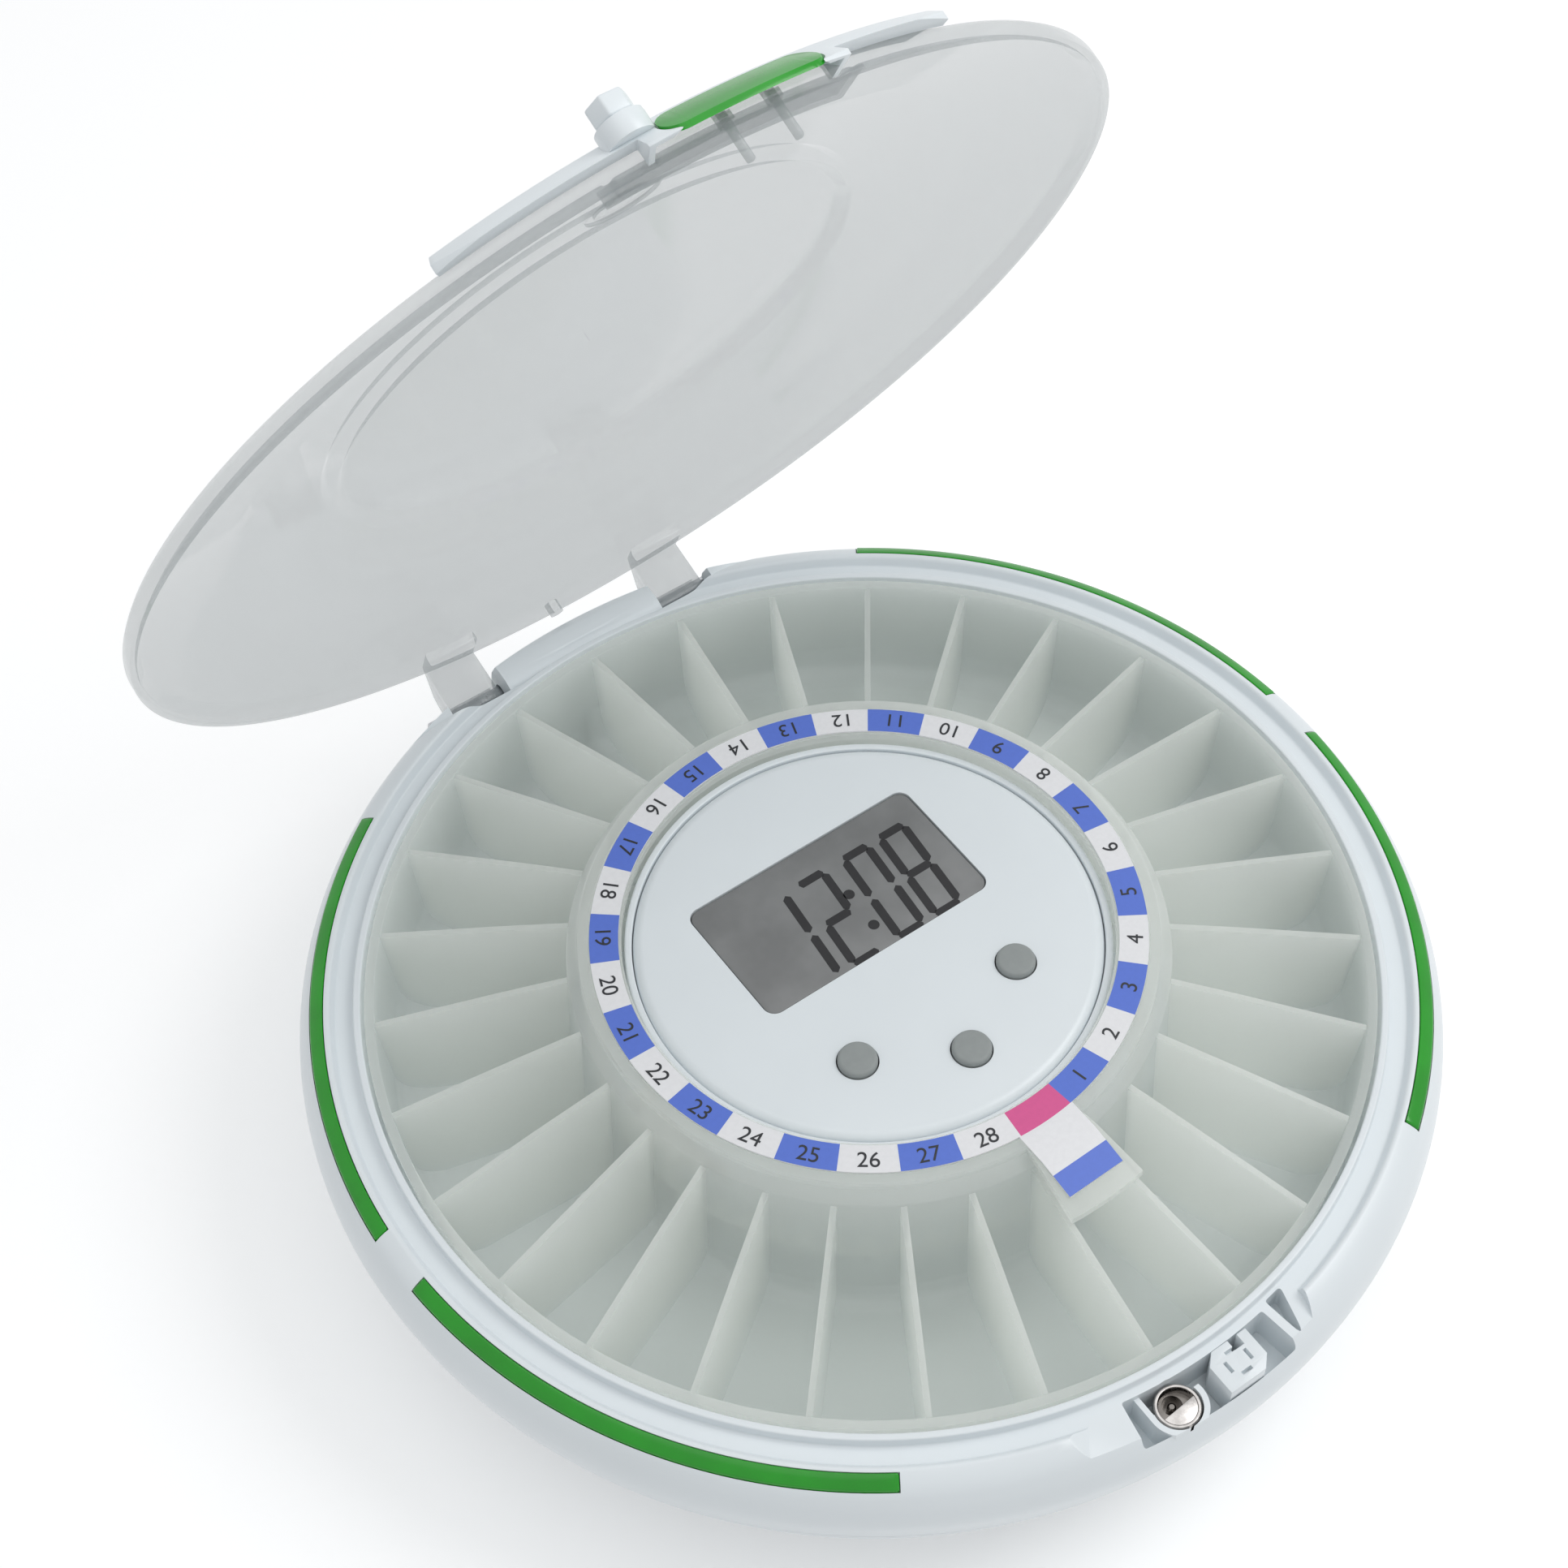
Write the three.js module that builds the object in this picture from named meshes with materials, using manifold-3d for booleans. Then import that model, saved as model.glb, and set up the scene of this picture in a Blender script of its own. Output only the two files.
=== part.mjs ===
// Electronic pill box: a round dispenser whose motor turns a tray of 29 compartments under a lockable clear lid
// Millimetres, Z up, origin under the middle of the base, lock at -Y, hinge at +Y, lid modelled shut and then opened
import * as THREE from 'three';
import { mergeVertices } from 'three/addons/utils/BufferGeometryUtils.js';
import Module from 'manifold-3d';

const wasm = await Module();
wasm.setup();

// Counts and angles
const compartmentCount = 29;
const roundFacets = 2 * compartmentCount;
const bowlFacets = 44;
const middleFacets = 22;
const smallFacets = 16;
const tinyFacets = 8;
const sector = (2 * Math.PI) / compartmentCount;
const degree = Math.PI / 180;
const lidOpenAngle = 66 * degree;
const stripStartAngle = 33.5 * degree;
const stripMiddleAngle = 85.5 * degree;
const stripRearStartAngle = 92 * degree;
const stripEndAngle = 145 * degree;
const capFromAngle = -27.5 * degree;
const capToAngle = 18.5 * degree;
const recessFromAngle = -11.3 * degree;
const recessToAngle = 6.8 * degree;

// Clearances and tool allowances
const seatGap = 0.3;
const slideGap = 0.35;
const glueLine = 0.05;
const overrun = 2;
const bite = 0.4;
const weldDistance = 0.0001;

// Shell
const shellRadius = 95.3;
const shellWall = 2.4;
const partingHeight = 27;
const partingInset = 0.4;
const partingRadius = shellRadius - partingInset;
const widestRise = 4.6;
const shellWidestHeight = partingHeight + widestRise;
const bendInset = 1.1;
const bendRise = 4;
const shoulderBendRadius = shellRadius - bendInset;
const shoulderBendHeight = shellWidestHeight + bendRise;
const stripInset = 3.9;
const stripWidth = 2.3;
const stripRise = 3.4;
const stripSlope = 1.2;
const stripDepth = 1.5;
const stripOuterRadius = shellRadius - stripInset;
const stripInnerRadius = stripOuterRadius - stripWidth;
const stripOuterHeight = shoulderBendHeight + stripRise;
const stripInnerHeight = stripOuterHeight + stripSlope;
const crestInset = 0.9;
const crestRise = 0.3;
const shoulderRadius = stripInnerRadius - crestInset;
const shoulderHeight = stripInnerHeight + crestRise;
const channelDrop = 2.1;
const channelBank = 0.9;
const channelWidth = 3.1;
const channelOuterRadius = shoulderRadius - channelBank;
const channelInnerRadius = channelOuterRadius - channelWidth;
const channelHeight = shoulderHeight - channelDrop;
const lipRise = 1.9;
const lipWidth = 1.2;
const lipHeight = channelHeight + lipRise;
const wellRadius = channelInnerRadius - lipWidth;
const wellWall = 2;
const wellFloorHeight = 15.5;
const restPadWidth = 2;
const restPadCount = 6;
const restPadHalfAngle = 5 * degree;

// Lower housing
const footHeight = 1;
const floorThickness = 2.6;
const floorRadius = 62;
const bellyInset = 5.3;
const bellyRadius = shellRadius - bellyInset;
const bellyHeightShare = 0.463;
const bellyHeight = bellyHeightShare * partingHeight;
const bellyShare = 0.3;
const lowerLipInset = 0.7;
const lowerLipDrop = 3;
const lowerLipRadius = shellRadius - lowerLipInset;
const lowerLipHeight = partingHeight - lowerLipDrop;
const footRadius = 5.5;
const footInset = 8;
const footCircleRadius = floorRadius - footInset;

// Hub
const panelRadius = 38;
const towerWall = 1.2;
const towerRadius = panelRadius + seatGap + towerWall;
const towerRise = 6.3;
const towerHeight = lipHeight + towerRise;
const ledgeWidth = 1.4;
const ledgeDrop = 2.3;
const ledgeHeight = towerHeight - ledgeDrop;
const panelProud = 0.6;
const panelHeight = towerHeight + panelProud;
const panelDrop = 1.2;
const displayWidthShare = 1.15;
const displayDepthShare = 0.632;
const displayYShare = 0.213;
const displayWidth = displayWidthShare * panelRadius;
const displayDepth = displayDepthShare * panelRadius;
const displayY = displayYShare * panelRadius;
const displayCornerRadius = 2;
const displayThickness = 1.6;
const displayRecess = 0.2;
const buttonRadius = 3.2;
const buttonFlange = 0.9;
const buttonProud = 1;
const buttonEdge = 0.5;
const buttonTravel = 0.6;
const buttonFlangeHeight = 1.2;
const sideButtonShares = [0.413, -0.487];
const middleButtonShare = -0.718;
const sideButtonX = sideButtonShares[0] * panelRadius;
const sideButtonY = sideButtonShares[1] * panelRadius;
const middleButtonY = middleButtonShare * panelRadius;

// Tray
const trayRunGap = 0.6;
const trayRadius = wellRadius - trayRunGap;
const trayRimDrop = 0.4;
const trayRimHeight = lipHeight - trayRimDrop;
const trayRimWidth = 1.6;
const trayWall = 1.3;
const trayDraft = 1.2;
const trayFloorRise = 3.8;
const trayFloorTop = wellFloorHeight + trayFloorRise;
const trayFloorThickness = 1.2;
const trayOuterFillet = 4.8;
const trayInnerFillet = 3;
const flangeInnerRadius = towerRadius + trayRunGap;
const flangeRise = 2;
const flangeHeight = towerHeight + flangeRise;
const flangeThickness = 1.4;
const flangeWidth = 7.1;
const flangeRadius = flangeInnerRadius + flangeWidth;
const neckFlare = 1.4;
const neckDrop = 2.6;
const neckDraft = 1.7;
const trayNeckRadius = flangeRadius + neckFlare;
const trayNeckHeight = flangeHeight - neckDrop;
const trayInnerRadius = trayNeckRadius + neckDraft;
const dividerThickness = 1;
const dividerDrop = 0.6;
const dividerInnerHeight = trayNeckHeight - dividerDrop;
const homeCoverLength = 11.4;
const homeCoverRadius = trayNeckRadius + homeCoverLength;
const homeCoverBendInset = 9.7;
const homeCoverBend = homeCoverRadius - homeCoverBendInset;
const homeCoverFall = 1.75;
const labelInset = 0.2;
const labelRimInset = 2.2;
const labelInnerRadius = flangeInnerRadius + labelInset;
const labelRadius = flangeRadius - labelRimInset;
const labelThickness = 0.3;
const labelTabInset = 3.2;
const labelTabRadius = homeCoverRadius - labelTabInset;
const labelTabHalfWidth = 5.2;
const trayRestAngle = 0.9 * degree;
const restPadInset = 9.7;
const restPadRadius = trayInnerRadius + restPadInset;

// Drive: tray teeth and pinion
const ringGearInset = 5.14;
const ringTeeth = 2 * compartmentCount;
const gearModule = (2 * (flangeInnerRadius + ringGearInset)) / ringTeeth;
const pinionTeeth = 14;
const toothAddendum = 1.17;
const toothDedendum = 1.56;
const toothThickness = 2;
const toothFlank = 0.42;
const ringGearHeight = 9.2;
const pinionHeight = 4;
const pinionRise = 4.7;
const pinionLow = trayFloorTop - trayFloorThickness + pinionRise;
const pinionShaftRadius = 1.5;
const pinionWindowGap = 0.7;

// Power and electronics
const cellRadius = 7.1;
const cellLength = 50;
const cellCount = 4;
const cellNubRadius = 2.7;
const cellNubHeight = 1.4;
const contactThickness = 0.5;
const contactWidth = 51;
const bayWall = 1.4;
const bayWallWidth = 40;
const doorThickness = 1.2;
const doorLip = 1.2;
const cellBed = 1;
const cellLow = footHeight + doorThickness + cellBed;
const chassisLow = cellLow + 2 * cellRadius + seatGap;
const chassisThickness = 1.5;
const chassisInset = 2.3;
const chassisRadius = towerRadius - chassisInset;
const postRadius = 2.2;
const postX = 12;
const postY = 31.5;
const boardDrop = 6.3;
const boardLow = ledgeHeight - boardDrop;
const gearboxLow = pinionLow + pinionHeight + 2 * seatGap;
const gearboxDrop = 2;
const gearboxHigh = boardLow - gearboxDrop;
const gearboxInset = 3.9;
const gearboxFarX = gearboxInset - towerRadius;
const gearboxLegX = -20;
const gearboxNearX = -12;
const gearboxWidth = 18;
const motorRadius = 6;
const motorLength = 24;
const boardThickness = 1.6;
const boardInset = 4;
const boardRadius = towerRadius - boardInset;
const switchSide = 6;
const switchHeight = 2.6;
const moduleMargin = 1.6;
const moduleWidth = displayWidth + 2 * moduleMargin;
const moduleDepth = displayDepth + 2 * moduleMargin;
const bossShares = [0.737, 0.316];
const bossX = bossShares[0] * panelRadius;
const bossY = bossShares[1] * panelRadius;
const buzzerRadius = 6;
const buzzerHeight = 5;
const buzzerShares = [0.5, -0.447];
const buzzerX = buzzerShares[0] * panelRadius;
const buzzerY = buzzerShares[1] * panelRadius;
const traySwitchWidth = 8;
const traySwitchDepth = 5;
const traySwitchHeight = 6;
const traySwitchShare = 0.79;
const traySwitchY = traySwitchShare * panelRadius;
const lightBoardGap = 0.5;
const lightBoardInner = wellRadius + wellWall + lightBoardGap;
const lightBoardWidth = stripInnerRadius - lightBoardInner - lightBoardGap / 2;
const lightBoardThickness = 1.3;
const lightBoardDrop = 2;

// Fasteners
const screwInset = 5;
const screwCircle = floorRadius - screwInset;
const screwRadius = 1.2;
const screwHeadRadius = 2.6;
const screwHeadHeight = 1;
const screwLength = 8.5;
const screwBossRadius = 3.2;
const screwAngle = 45 * degree;

// Front recess, lock and catch
const recessShelf = 1.4;
const recessRim = 2.1;
const recessDepth = 9;
const recessInnerRadius = channelInnerRadius + recessShelf;
const recessOuterRadius = shellRadius - recessRim;
const recessFloorHeight = shoulderHeight - recessDepth;
const recessFloorThickness = 2;
const recessSideWall = 1.8;
const lockX = -9.1;
const lockInset = 4.3;
const lockY = lockInset - recessOuterRadius;
const lockRadius = 4;
const lockLength = 6.5;
const lockHeight = recessFloorHeight + lockLength;
const lockCutDepth = 1.6;
const lockKeyholeRadius = 1.5;
const lockKeyholeDepth = 3.6;
const lockStemRadius = 1.4;
const lockStemLength = 4.4;
const collarWall = 0.9;
const clipThickness = 1.2;
const clipWall = 1.1;
const catchX = 2.3;
const catchInset = 4;
const catchY = catchInset - recessOuterRadius;
const catchSide = 6.4;
const catchLength = 7.9;
const catchHeight = recessFloorHeight + catchLength;
const catchPocket = 3.2;
const catchPocketDepth = 5;
const catchStep = 1;
const catchStepHeight = 2.2;

// Hinge
const hingeInset = 6;
const hingeDrop = 8;
const hingeY = shellRadius - hingeInset;
const hingeZ = shoulderHeight - hingeDrop;
const hingeBarRadius = 6.4;
const hingeBarHalfLength = 38;
const hingeSweepReach = 5;
const hingeSweepY = hingeY - hingeSweepReach;
const armX = 22;
const armWidth = 9.4;
const armSlotWidth = 11.4;
const armKnuckleRadius = 3.4;
const armThickness = 3.6;
const armUnderShare = 0.4;
const hingePinRadius = 1.4;
const hingePinLength = 18;
const hingeEarX = 31;

// Lid
const lidRimGap = 1.4;
const lidRimRise = 1.6;
const lidRadius = channelOuterRadius - lidRimGap;
const lidWall = 1.7;
const lidRimWall = 1.2;
const lidRimStraight = 1;
const lidRimLength = 2.3;
const lidRimLow = channelHeight + lidRimRise;
const lidRimHigh = lidRimLow + lidRimLength;
const lidBevel = 1.2;
const lidBevelRise = 1.3;
const lidShoulderRadius = lidRadius - lidBevel;
const lidShoulderHeight = lidRimHigh + lidBevelRise;
const lidWindowInset = 1.7;
const lidWindowRadius = flangeRadius - lidWindowInset;
const lidStepWidth = 2;
const lidStepRadius = lidWindowRadius + lidStepWidth;
const lidMiddleShare = 0.5;
const lidMiddleRadius = lidStepRadius + lidMiddleShare * (lidShoulderRadius - lidStepRadius);
const lidClearRise = 4;
const lidStepHeight = flangeHeight + lidClearRise;
const lidMiddleHeightShare = 0.6;
const lidMiddleHeight = lidShoulderHeight + lidMiddleHeightShare * (lidStepHeight - lidShoulderHeight);
const lidStepRise = 1.8;
const lidCrown = 0.6;
const lidWindowHeight = lidStepHeight + lidStepRise;
const lidTopHeight = lidWindowHeight + lidCrown;
const ringBossX = -8.5;
const ringBossInset = 10.8;
const ringBossY = -(lidStepRadius + ringBossInset);
const ringBossRadius = 5.8;
const ringBossWall = 1.4;
const ringBossDepth = 0.7;
const pressRibInset = 7.7;
const pressRibRadius = lidShoulderRadius - pressRibInset;
const pressRibWidth = 1.6;
const pressRibHeight = 2.6;
const pressRibHalfAngle = 13 * degree;
const lidNubRadius = 1.3;
const lidNubLength = 2.4;

// Lid cap, press button and key knob
const hookSpacing = 9.6;
const hookOffset = 0.4;
const hookY = catchY - hookOffset;
const pressOffsetX = 0.7;
const pressOffsetY = 4;
const pressX = catchX + pressOffsetX;
const pressY = hookY + pressOffsetY;
const pressWidth = 25.6;
const pressDepth = 9.4;
const pressProud = 0.2;
const capFront = 3;
const capRadius = capFront - hookY;
const capDrop = 0.7;
const capLow = lidRimHigh - capDrop;
const capThickness = 2.4;
const capChordInset = 7.3;
const capChordY = capChordInset - lidRadius;
const pressThickness = 2;
const pressTravel = 0.8;
const hookThickness = 1.9;
const hookDepth = 1.8;
const hookTip = 2.9;
const hookLow = recessFloorHeight + hookTip;
const knobGap = 5.2;
const knobOffset = 0.4;
const knobX = pressX - pressWidth / 2 - knobGap;
const knobY = pressY + knobOffset;
const knobRadius = 3.9;
const knobHeight = 3.6;

// Catch lever in the well
const leverGap = 0.5;
const leverLength = 20;
const leverOuter = wellRadius - leverGap;
const leverInner = leverOuter - leverLength;
const leverWidth = 7;
const leverThickness = 1.6;
const leverFingerHeight = 8.4;
const leverFingerThickness = 1.2;
const leverToe = 2.4;

// Materials
function plastic(color, roughness) {
  return new THREE.MeshStandardMaterial({ color, roughness, metalness: 0 });
}

function clear(color, opacity) {
  return new THREE.MeshStandardMaterial({ color, roughness: 0.15, metalness: 0, transparent: true, opacity });
}

function metal(color, roughness) {
  return new THREE.MeshStandardMaterial({ color, roughness, metalness: 1 });
}

const whiteShell = plastic(0xdde3ec, 0.35);
const trayPlastic = clear(0xdfe4dd, 0.5);
const lidPlastic = clear(0xd3dadb, 0.4);
const stripGreen = plastic(0x1a9a1a, 0.3);
const buttonGrey = plastic(0x9ca1a1, 0.5);
const displayGrey = plastic(0x6f7173, 0.3);
const labelPaper = plastic(0xeeeeee, 0.6);
const boardGreen = plastic(0x2c6b3f, 0.5);
const darkPlastic = plastic(0x2b2d30, 0.5);
const rubber = plastic(0x3a3c3e, 0.8);
const chrome = metal(0xc9c9c9, 0.15);
const steel = metal(0xb0b2b5, 0.3);
const cellJacket = plastic(0x44484d, 0.4);
const gearPlastic = plastic(0xf0efe8, 0.5);

// Solids
function signedVolume(points, corners) {
  let total = 0;
  for (let i = 0; i < corners.length; i += 3) {
    const [a, b, c] = [0, 1, 2].map((k) => new THREE.Vector3().fromArray(points, 3 * corners[i + k]));
    total += a.dot(b.cross(c));
  }
  return total;
}

// One closed body from a three.js geometry: shared corners merged, flat slivers dropped, faces turned outwards
function solid(geometry) {
  const bare = geometry.index ? geometry.toNonIndexed() : geometry.clone();
  bare.deleteAttribute('normal');
  bare.deleteAttribute('uv');
  const merged = mergeVertices(bare, weldDistance);
  const points = merged.attributes.position.array;
  const index = merged.index.array;
  const corners = [];
  for (let i = 0; i < index.length; i += 3) {
    const [a, b, c] = [index[i], index[i + 1], index[i + 2]];
    if (a !== b && b !== c && c !== a) corners.push(a, b, c);
  }
  if (signedVolume(points, corners) < 0) corners.reverse();
  const mesh = new wasm.Mesh({
    numProp: 3,
    vertProperties: new Float32Array(points),
    triVerts: new Uint32Array(corners),
  });
  return new wasm.Manifold(mesh);
}

function join(...bodies) {
  return bodies.reduce((whole, body) => whole.add(body));
}

function cut(body, ...tools) {
  return tools.reduce((rest, tool) => rest.subtract(tool), body);
}

function geometryOf(body) {
  const { vertProperties, triVerts } = body.getMesh();
  const geometry = new THREE.BufferGeometry();
  geometry.setAttribute('position', new THREE.BufferAttribute(new Float32Array(vertProperties), 3));
  geometry.setIndex(new THREE.BufferAttribute(new Uint32Array(triVerts), 1));
  const flat = geometry.toNonIndexed();
  flat.computeVertexNormals();
  return flat;
}

// A profile of [radius, height] points turned about Z; an open one starts and ends on the axis
function revolve(profile, facets = roundFacets) {
  const loop = profile.map(([radius, height]) => new THREE.Vector2(radius, height));
  const open = profile[0][0] === 0 && profile[profile.length - 1][0] === 0;
  if (!open) loop.push(loop[0].clone());
  return solid(new THREE.LatheGeometry(loop, facets).rotateX(Math.PI / 2));
}

function disc(radius, low, high, x = 0, y = 0, facets = smallFacets) {
  const geometry = new THREE.CylinderGeometry(radius, radius, high - low, facets);
  return solid(geometry.rotateX(Math.PI / 2).translate(x, y, (low + high) / 2));
}

function rod(radius, from, to, y, z, facets = smallFacets) {
  const geometry = new THREE.CylinderGeometry(radius, radius, to - from, facets);
  return solid(geometry.rotateZ(Math.PI / 2).translate((from + to) / 2, y, z));
}

function block(fromX, toX, fromY, toY, low, high) {
  const geometry = new THREE.BoxGeometry(toX - fromX, toY - fromY, high - low);
  return solid(geometry.translate((fromX + toX) / 2, (fromY + toY) / 2, (low + high) / 2));
}

function prism(shape, low, high, steps = 3) {
  const geometry = new THREE.ExtrudeGeometry(shape, { depth: high - low, bevelEnabled: false, curveSegments: steps });
  return solid(geometry.translate(0, 0, low));
}

function outline(points) {
  return new THREE.Shape(points.map(([x, y]) => new THREE.Vector2(x, y)));
}

// Angles are counted from the front, anticlockwise seen from above
function around(radius, angle) {
  return [radius * Math.sin(angle), -radius * Math.cos(angle)];
}

function ringSector(inner, outer, from, to, low, high, steps = 4) {
  const points = [];
  for (let i = 0; i <= steps; i += 1) points.push(around(outer, from + ((to - from) * i) / steps));
  for (let i = steps; i >= 0; i -= 1) points.push(around(inner, from + ((to - from) * i) / steps));
  return prism(outline(points), low, high);
}

function roundedRectangle(width, depth, radius, x = 0, y = 0) {
  const shape = new THREE.Shape();
  const [halfX, halfY] = [width / 2 - radius, depth / 2 - radius];
  shape.absarc(x + halfX, y + halfY, radius, 0, Math.PI / 2);
  shape.absarc(x - halfX, y + halfY, radius, Math.PI / 2, Math.PI);
  shape.absarc(x - halfX, y - halfY, radius, Math.PI, 1.5 * Math.PI);
  shape.absarc(x + halfX, y - halfY, radius, 1.5 * Math.PI, 2 * Math.PI);
  return shape;
}

// A plate whose outline lies in the plane of radius and height, set upright along a radius at the given angle
function radialPlate(points, thickness, angle) {
  const geometry = new THREE.ExtrudeGeometry(outline(points), { depth: thickness, bevelEnabled: false });
  geometry.translate(0, 0, -thickness / 2).rotateX(Math.PI / 2).rotateZ(angle - Math.PI / 2);
  return solid(geometry);
}

// A plate whose outline lies in the YZ plane, centred on x
function sidePlate(points, width, x) {
  const geometry = new THREE.ExtrudeGeometry(outline(points), { depth: width, bevelEnabled: false });
  geometry.rotateY(Math.PI / 2).rotateX(Math.PI / 2).translate(x - width / 2, 0, 0);
  return solid(geometry);
}

const pillBox = new THREE.Group();
const lidGroup = new THREE.Group();
lidGroup.position.set(0, hingeY, hingeZ);
lidGroup.rotation.x = -lidOpenAngle;
pillBox.add(lidGroup);

function addPiece(name, body, material) {
  const mesh = new THREE.Mesh(geometryOf(body), material);
  mesh.name = name;
  pillBox.add(mesh);
}

// Lid pieces are made in the shut lid's place and hang in the group that turns about the hinge
function addLidPiece(name, body, material) {
  const mesh = new THREE.Mesh(geometryOf(body).translate(0, -hingeY, -hingeZ), material);
  mesh.name = name;
  lidGroup.add(mesh);
}

// Upper housing: shoulder, lid channel, well and hub tower in one revolved shell
const shellCurve = [
  [partingRadius, partingHeight],
  [shellRadius, shellWidestHeight],
  [shoulderBendRadius, shoulderBendHeight],
  [stripOuterRadius, stripOuterHeight],
];
const towerInner = towerRadius - towerWall;
const wellFloorLow = wellFloorHeight - wellWall;
const channelUnder = channelHeight - shellWall;

function upperShell() {
  return revolve([
    ...shellCurve,
    [shoulderRadius, shoulderHeight],
    [channelOuterRadius, channelHeight],
    [channelInnerRadius, channelHeight],
    [channelInnerRadius, lipHeight],
    [wellRadius, lipHeight],
    [wellRadius, wellFloorHeight],
    [towerRadius, wellFloorHeight],
    [towerRadius, towerHeight],
    [towerInner, towerHeight],
    [towerInner, ledgeHeight],
    [towerInner - ledgeWidth, ledgeHeight],
    [towerInner, wellFloorLow],
    [wellRadius + wellWall, wellFloorLow],
    [wellRadius + wellWall, channelUnder],
    [stripInnerRadius, channelUnder],
    [shellRadius - shellWall, shellWidestHeight],
    [partingRadius - shellWall, partingHeight],
  ]);
}

// The full round body that the shell's outside encloses, for pieces that are trimmed to it
function shellEnvelope() {
  return revolve([
    [0, partingHeight],
    ...shellCurve,
    [shoulderRadius, shoulderHeight],
    [channelOuterRadius, channelHeight],
    [0, channelHeight],
  ]);
}

// Low pads on the well floor that the tray turns on
function restPads() {
  const [inner, outer] = [restPadRadius, restPadRadius + restPadWidth];
  const high = trayFloorTop - trayFloorThickness - seatGap;
  const pads = [];
  for (let k = 0; k < restPadCount; k += 1) {
    const middle = ((k + 0.5) * 2 * Math.PI) / restPadCount;
    const [from, to] = [middle - restPadHalfAngle, middle + restPadHalfAngle];
    pads.push(ringSector(inner, outer, from, to, wellFloorHeight - bite, high, 2));
  }
  return join(...pads);
}

function stripGroove(from, to, clearance) {
  const profile = [
    [stripInnerRadius - clearance, stripInnerHeight - stripDepth - clearance],
    [stripOuterRadius + clearance, stripOuterHeight - stripDepth - clearance],
    [stripOuterRadius + clearance, stripOuterHeight + clearance * overrun],
    [stripInnerRadius - clearance, stripInnerHeight + clearance * overrun],
  ];
  const spread = clearance / stripOuterRadius;
  const [inner, outer] = [stripInnerRadius - overrun, stripOuterRadius + overrun];
  const wedge = ringSector(inner, outer, from - spread, to + spread, partingHeight, shoulderHeight + overrun);
  return revolve(profile).intersect(wedge);
}

const stripRanges = [
  ['light_strip_front_right', stripStartAngle, stripMiddleAngle],
  ['light_strip_rear_right', stripRearStartAngle, stripEndAngle],
  ['light_strip_rear_left', -stripEndAngle, -stripRearStartAngle],
  ['light_strip_front_left', -stripMiddleAngle, -stripStartAngle],
];

function frontPocket(envelope) {
  const side = recessSideWall / recessOuterRadius;
  const [from, to] = [recessFromAngle - side, recessToAngle + side];
  const low = recessFloorHeight - recessFloorThickness;
  const inner = (wellRadius + channelInnerRadius) / 2;
  return ringSector(inner, shellRadius, from, to, low, shoulderHeight).intersect(envelope);
}

function recessCut() {
  const high = shoulderHeight + overrun;
  return ringSector(recessInnerRadius, recessOuterRadius, recessFromAngle, recessToAngle, recessFloorHeight, high);
}

const collarInner = lockRadius + slideGap;
const collarOuter = collarInner + collarWall;

function lockCollar() {
  const ring = disc(collarOuter, recessFloorHeight - bite, lockHeight, lockX, lockY);
  const inside = ringSector(
    channelInnerRadius, recessOuterRadius + bite, recessFromAngle, recessToAngle, partingHeight, shoulderHeight,
  );
  return ring.intersect(inside);
}

function hingeBar(envelope) {
  const bar = rod(hingeBarRadius, -hingeBarHalfLength, hingeBarHalfLength, hingeY, hingeZ, middleFacets);
  return bar.intersect(envelope).intersect(
    block(-hingeEarX - recessSideWall, hingeEarX + recessSideWall, wellRadius, shellRadius, partingHeight, shoulderHeight),
  );
}

function hingeSweep() {
  const half = hingeBarHalfLength;
  const high = shoulderHeight + overrun;
  const room = block(-half, half, hingeSweepY, shellRadius + overrun, hingeZ, high);
  return room.subtract(rod(hingeBarRadius, -half - overrun, half + overrun, hingeY, hingeZ, middleFacets));
}

function armSlot(side) {
  const x = side * armX;
  const high = shoulderHeight + overrun;
  const low = hingeZ - armKnuckleRadius - slideGap * overrun;
  return block(x - armSlotWidth / 2, x + armSlotWidth / 2, hingeSweepY, shellRadius + overrun, low, high);
}

const pinSpan = (side) => [side * armX - hingePinLength / 2, side * armX + hingePinLength / 2];
const gearRatioPitch = (gearModule * ringTeeth) / 2;
const pinionPitch = (gearModule * pinionTeeth) / 2;
const pinionX = pinionPitch - gearRatioPitch;

function screwPlaces() {
  return [0, 1, 2, 3].map((k) => around(screwCircle, screwAngle + (k * Math.PI) / 2));
}

const floorTop = footHeight + floorThickness;
const screwBossLow = floorTop + seatGap;

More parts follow.
